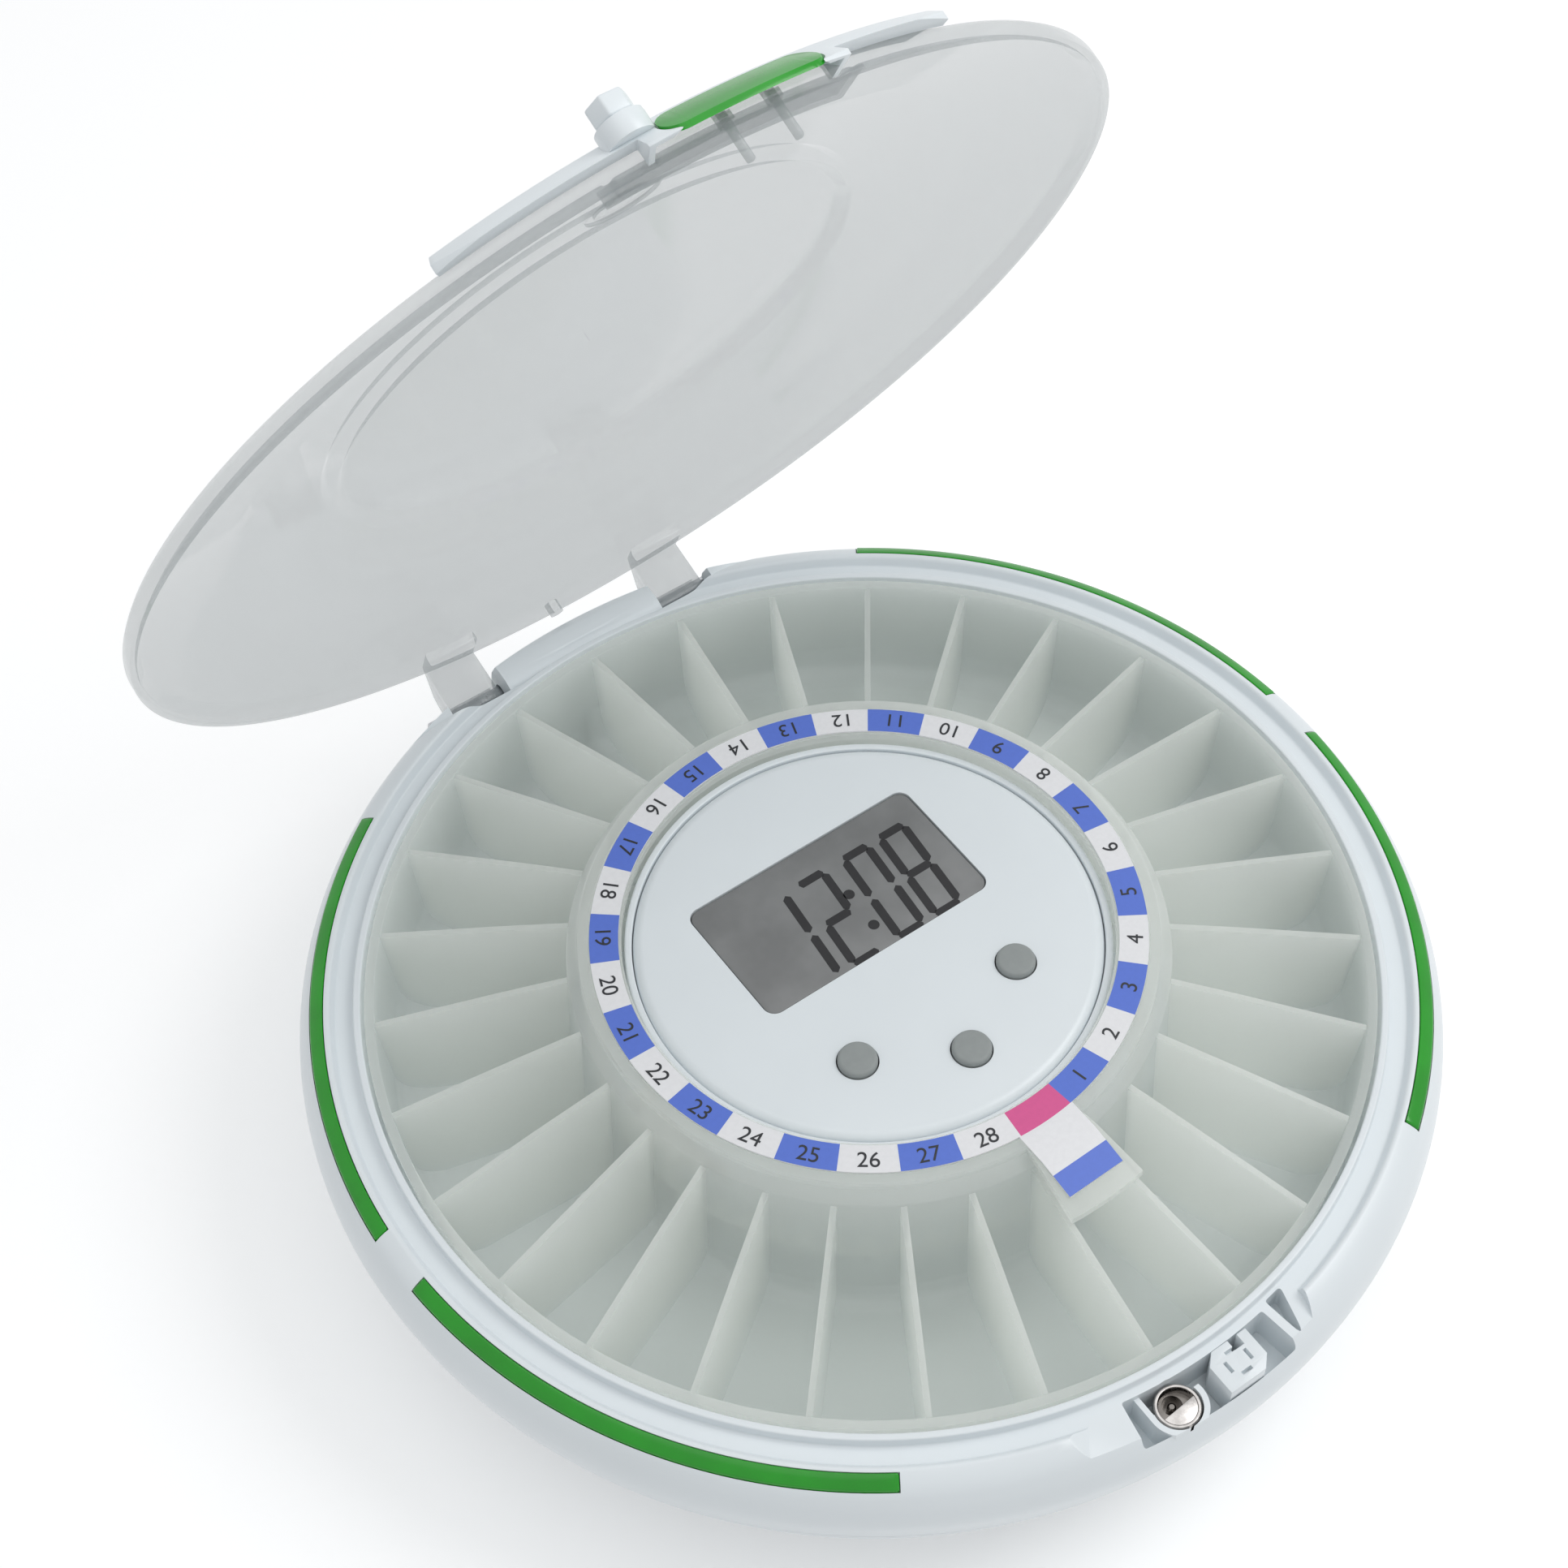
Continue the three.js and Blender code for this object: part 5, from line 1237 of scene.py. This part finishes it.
class PILLBOX_OT_works(bpy.types.Operator):
    """Finishes of the works inside the hub, which keep their CAD shapes"""

    bl_idname = "pillbox.works"
    bl_label = "Works"

    def execute(self, context):
        for finish, nodes in INNER_FINISHES.items():
            for node in nodes:
                CAD[node].data.materials.clear()
                CAD[node].data.materials.append(get_finish(finish))
        return {"FINISHED"}


# Stage

CAMERA_PLACE = (-148.4, -199.7, 411.7)
CAMERA_AIM = (5.8, 31.6, 49.0)
CAMERA_ROLL = radians(-2.11)
CAMERA_LENS = 62.6
CAMERA_SENSOR = 36.0
# Lamps: name, place, diameter and power
LAMPS = [("key", (440.0, -240.0, 720.0), 460.0, 1.9), ("fill", (-20.0, 40.0, 1000.0), 1100.0, 2.0)]
LAMP_AIM = Vector((0, 0, 30)) * MM
# Half the floor's side, its own light where it is seen, the world's strength as light and as background
FLOOR_REACH = 4000.0
FLOOR_GLOW = 0.23
WORLD_LIGHT, WORLD_SEEN = 0.55, 1.0


def aimed(place, aim):
    """The matrix of a lamp or camera at `place`, in metres, that looks at `aim`."""
    return Matrix.Translation(place) @ (aim - place).to_track_quat("-Z", "Y").to_matrix().to_4x4()


def seen_directly(tree):
    """One for rays that show the background: from the camera, off gloss or through glass."""
    path = add_node(tree, "ShaderNodeLightPath")
    rays = [path.outputs[f"Is {kind} Ray"] for kind in ("Camera", "Glossy", "Transmission")]
    first = add_node(tree, "ShaderNodeMath", {"operation": "MAXIMUM"}, {0: rays[0], 1: rays[1]})
    return add_node(tree, "ShaderNodeMath", {"operation": "MAXIMUM"}, {0: first.outputs[0], 1: rays[2]})


class PILLBOX_OT_stage(bpy.types.Operator):
    """Pale floor, soft studio light and the camera at the photograph's angle"""

    bl_idname = "pillbox.stage"
    bl_label = "Stage"

    def execute(self, context):
        scene = context.scene
        scene.view_settings.view_transform = "Standard"
        self.camera(scene)
        self.floor()
        self.world(scene)
        for values in LAMPS:
            self.lamp(*values)
        return {"FINISHED"}

    @staticmethod
    def camera(scene):
        lens = bpy.data.cameras.new("camera")
        lens.lens = CAMERA_LENS
        lens.sensor_width = CAMERA_SENSOR
        lens.sensor_fit = "HORIZONTAL"
        lens.clip_start = 0.01
        camera = new_object("camera", lens)
        turn = aimed(Vector(CAMERA_PLACE) * MM, Vector(CAMERA_AIM) * MM)
        camera.matrix_world = turn @ Matrix.Rotation(CAMERA_ROLL, 4, "Z")
        scene.camera = camera

    @staticmethod
    def floor():
        signs = ((-1, -1), (1, -1), (1, 1), (-1, 1))
        corners = [(x * FLOOR_REACH, y * FLOOR_REACH, 0) for x, y in signs]
        floor = mesh_from("floor", corners, [(0, 1, 2, 3)])
        settings = {"Roughness": 0.9, "Base Color": (0.95, 0.95, 0.95, 1.0), "Specular IOR Level": 0.1}
        finish, tree, shader = start_finish("studio_paper", settings)
        seen = seen_directly(tree)
        glow = add_node(
            tree, "ShaderNodeMath", {"operation": "MULTIPLY", 1: FLOOR_GLOW}, {0: seen.outputs[0]}
        )
        shader.inputs["Emission Color"].default_value = (1.0, 1.0, 1.0, 1.0)
        tree.links.new(glow.outputs[0], shader.inputs["Emission Strength"])
        floor.data.materials.append(finish)

    @staticmethod
    def world(scene):
        world = bpy.data.worlds.new("studio")
        world.use_nodes = True
        tree = world.node_tree
        background = tree.nodes["Background"]
        seen = seen_directly(tree)
        limits = {"To Min": WORLD_LIGHT, "To Max": WORLD_SEEN}
        shown = add_node(tree, "ShaderNodeMapRange", limits, {"Value": seen.outputs[0]})
        background.inputs["Color"].default_value = (0.97, 0.985, 1.0, 1.0)
        tree.links.new(shown.outputs["Result"], background.inputs["Strength"])
        scene.world = world

    @staticmethod
    def lamp(name, place, size, power):
        light = bpy.data.lights.new(name, "AREA")
        light.shape = "DISK"
        light.size = size * MM
        light.energy = power
        new_object(name, light).matrix_world = aimed(Vector(place) * MM, LAMP_AIM)


OPERATORS = (
    PILLBOX_OT_stage,
    PILLBOX_OT_housing,
    PILLBOX_OT_strips,
    PILLBOX_OT_base,
    PILLBOX_OT_tray,
    PILLBOX_OT_label,
    PILLBOX_OT_hub,
    PILLBOX_OT_display,
    PILLBOX_OT_lid,
    PILLBOX_OT_lid_front,
    PILLBOX_OT_latch,
    PILLBOX_OT_works,
)


GROUPS = {
    "pill_box_housing": PillBoxHousing,
    "pill_box_tray": PillBoxTray,
    "pill_box_lid": PillBoxLid,
    "pill_box_colours": PillBoxColours,
}


class PILLBOX_PT_panel(bpy.types.Panel):
    """Lists the sizes, the colours and the pieces of the pill box"""

    bl_idname = "PILLBOX_PT_panel"
    bl_label = "Pill Box"
    bl_space_type = "VIEW_3D"
    bl_region_type = "UI"
    bl_category = "Pill Box"

    def draw(self, context):
        for name in GROUPS:
            group = getattr(context.scene, name)
            box_ui = self.layout.box()
            for key in group.__annotations__:
                box_ui.prop(group, key)
        for operator in OPERATORS:
            self.layout.operator(operator.bl_idname)


CLASSES = (*GROUPS.values(), *OPERATORS, PILLBOX_PT_panel)


def register():
    for cls in CLASSES:
        bpy.utils.register_class(cls)
    for name, group in GROUPS.items():
        setattr(bpy.types.Scene, name, PointerProperty(type=group))


def unregister():
    for name in GROUPS:
        delattr(bpy.types.Scene, name)
    for cls in reversed(CLASSES):
        bpy.utils.unregister_class(cls)


def main():
    register()
    for operator in OPERATORS:
        family, name = operator.bl_idname.split(".")
        getattr(getattr(bpy.ops, family), name)()


if __name__ == "__main__":
    main()
